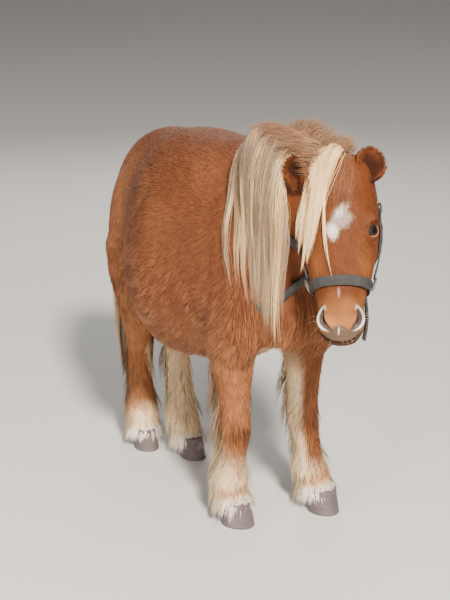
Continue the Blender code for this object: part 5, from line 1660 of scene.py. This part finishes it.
LASHES, LASH_STEPS = 26, 4
for side, word in ((-1, "right"), (1, "left")):
    centre = eye_centre(side)
    way_out, front, up = eye_directions(side)
    angle = np.linspace(0.20, 0.80, LASHES) * math.pi
    edge = np.outer(LID_LENGTH * np.cos(angle), front) + np.outer(LID_ABOVE * np.sin(angle) ** 1.2, up)
    ray = unit(edge + way_out * EYE_RADIUS * 0.95)
    roots = centre + ray * (EYE_RADIUS + 0.0020)
    share = np.linspace(0, 1, LASH_STEPS)[None, :, None]
    heading = unit(ray * 0.8 + way_out * 0.5 - up * 0.15)
    paths = roots[:, None] + (heading[:, None] * share - up * 0.5 * share ** 2) * 0.008
    widths = tapered(0.0005, 0.3, LASHES, LASH_STEPS)
    colours = np.full((LASHES, LASH_STEPS, 3), 0.03)
    strand_pieces("lashes_" + word, paths, widths, ray, colours, root_uvs(roots))


# The halter: woven straps of worn charcoal webbing, sewn round dull metal rings at the cheeks. The
# CAD's straps and rings have the right shape and stay, so here they only get their materials.

def plain_material(name, colour, roughness, metallic=0.0):
    material = bpy.data.materials.new(name)
    material.use_nodes = True
    shader = material.node_tree.nodes["Principled BSDF"]
    shader.inputs["Base Color"].default_value = (*colour, 1)
    shader.inputs["Roughness"].default_value = roughness
    shader.inputs["Metallic"].default_value = metallic
    return material


def webbing_material():
    """Woven strap: a fine knobbly weave, faded in patches."""
    material = plain_material("webbing", (0.030, 0.028, 0.030), 0.85)
    nodes, links = material.node_tree.nodes, material.node_tree.links
    shader = nodes["Principled BSDF"]
    place = nodes.new("ShaderNodeTexCoord")
    fade = nodes.new("ShaderNodeTexNoise")
    fade.inputs["Scale"].default_value = 60
    fade.inputs["Detail"].default_value = 4
    ramp = nodes.new("ShaderNodeValToRGB")
    ramp.color_ramp.elements[0].color = (0.014, 0.013, 0.014, 1)
    ramp.color_ramp.elements[1].color = (0.045, 0.041, 0.040, 1)
    weave = nodes.new("ShaderNodeTexVoronoi")
    weave.inputs["Scale"].default_value = 700
    bump = nodes.new("ShaderNodeBump")
    bump.inputs["Strength"].default_value = 0.5
    bump.inputs["Distance"].default_value = 0.0006
    links.new(place.outputs["Object"], fade.inputs["Vector"])
    links.new(place.outputs["Object"], weave.inputs["Vector"])
    links.new(fade.outputs["Fac"], ramp.inputs["Fac"])
    links.new(ramp.outputs["Color"], shader.inputs["Base Color"])
    links.new(weave.outputs["Distance"], bump.inputs["Height"])
    links.new(bump.outputs["Normal"], shader.inputs["Normal"])
    return material


def ring_material():
    """Dull steel, blotched with tarnish."""
    material = plain_material("ring_metal", (0.35, 0.35, 0.36), 0.38, 0.9)
    blotches = grained(material, 220, 0.0004, 6.0)
    nodes, links = material.node_tree.nodes, material.node_tree.links
    tarnish = nodes.new("ShaderNodeValToRGB")
    tarnish.color_ramp.elements[0].color = (0.22, 0.20, 0.18, 1)
    tarnish.color_ramp.elements[1].color = (0.48, 0.47, 0.45, 1)
    links.new(blotches.outputs["Fac"], tarnish.inputs["Fac"])
    links.new(tarnish.outputs["Color"], nodes["Principled BSDF"].inputs["Base Color"])
    return material


webbing, metal = webbing_material(), ring_material()
for name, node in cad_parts.items():
    if name.startswith("halter_"):
        node.material_slots[0].material = metal if "ring" in name else webbing


# The stage: a pale painted floor under the hooves, a warm key light high behind the camera, two weak
# ones at the side and the back, and the camera as it stood for the photo.

FLOOR_REACH = 60
FLOOR_CORNERS = ((-1, -1), (1, -1), (1, 1), (-1, 1))
floor_paint = plain_material("floor_paint", (0.72, 0.71, 0.69), 0.9)
floor = bpy.data.objects.new("floor", bpy.data.meshes.new("floor"))
floor.data.from_pydata([(x * FLOOR_REACH, y * FLOOR_REACH, 0) for x, y in FLOOR_CORNERS],
                       [], [(0, 1, 2, 3)])
floor.data.materials.append(floor_paint)
bpy.context.scene.collection.objects.link(floor)
floor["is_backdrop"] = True

world = bpy.data.worlds.new("studio")
bpy.context.scene.world = world
world.use_nodes = True
world.node_tree.nodes["Background"].inputs["Color"].default_value = (1.0, 0.98, 0.95, 1)
world.node_tree.nodes["Background"].inputs["Strength"].default_value = 0.22


def softbox(name, place, aim, size, power, colour):
    light = bpy.data.lights.new(name, "AREA")
    light.shape = "DISK"
    light.size = size
    light.energy = power
    light.color = colour
    made = bpy.data.objects.new(name, light)
    made.location = place
    made.rotation_euler = (Vector(aim) - Vector(place)).to_track_quat("-Z", "Y").to_euler()
    bpy.context.scene.collection.objects.link(made)
    made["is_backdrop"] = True


softbox("key", (-1.6, -5.4, 4.7), (0, 0, 0.45), 0.9, 1300, (1.0, 0.93, 0.84))
softbox("side", (-3.4, -1.6, 1.1), (0, 0.1, 0.25), 1.4, 70, (1.0, 0.96, 0.90))
softbox("back", (1.4, 3.4, 2.8), (0, 0, 0.6), 2.0, 60, (1.0, 0.97, 0.92))

CAMERA_PLACE = np.array([-1.6623, -3.0731, 1.45])
CAMERA_TURN, CAMERA_DIP = math.radians(29), math.radians(16)
CAMERA_LENS = 90  # millimetres, before a sensor 36 wide
camera = bpy.data.objects.new("camera", bpy.data.cameras.new("camera"))
camera.location = CAMERA_PLACE + ORIGIN_SHIFT
level = math.cos(CAMERA_DIP)
looking = Vector((math.sin(CAMERA_TURN) * level, math.cos(CAMERA_TURN) * level, -math.sin(CAMERA_DIP)))
camera.rotation_euler = looking.to_track_quat("-Z", "Y").to_euler()
camera.data.lens = CAMERA_LENS
camera.data.sensor_width = 36
bpy.context.scene.collection.objects.link(camera)
bpy.context.scene.camera = camera

low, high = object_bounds()
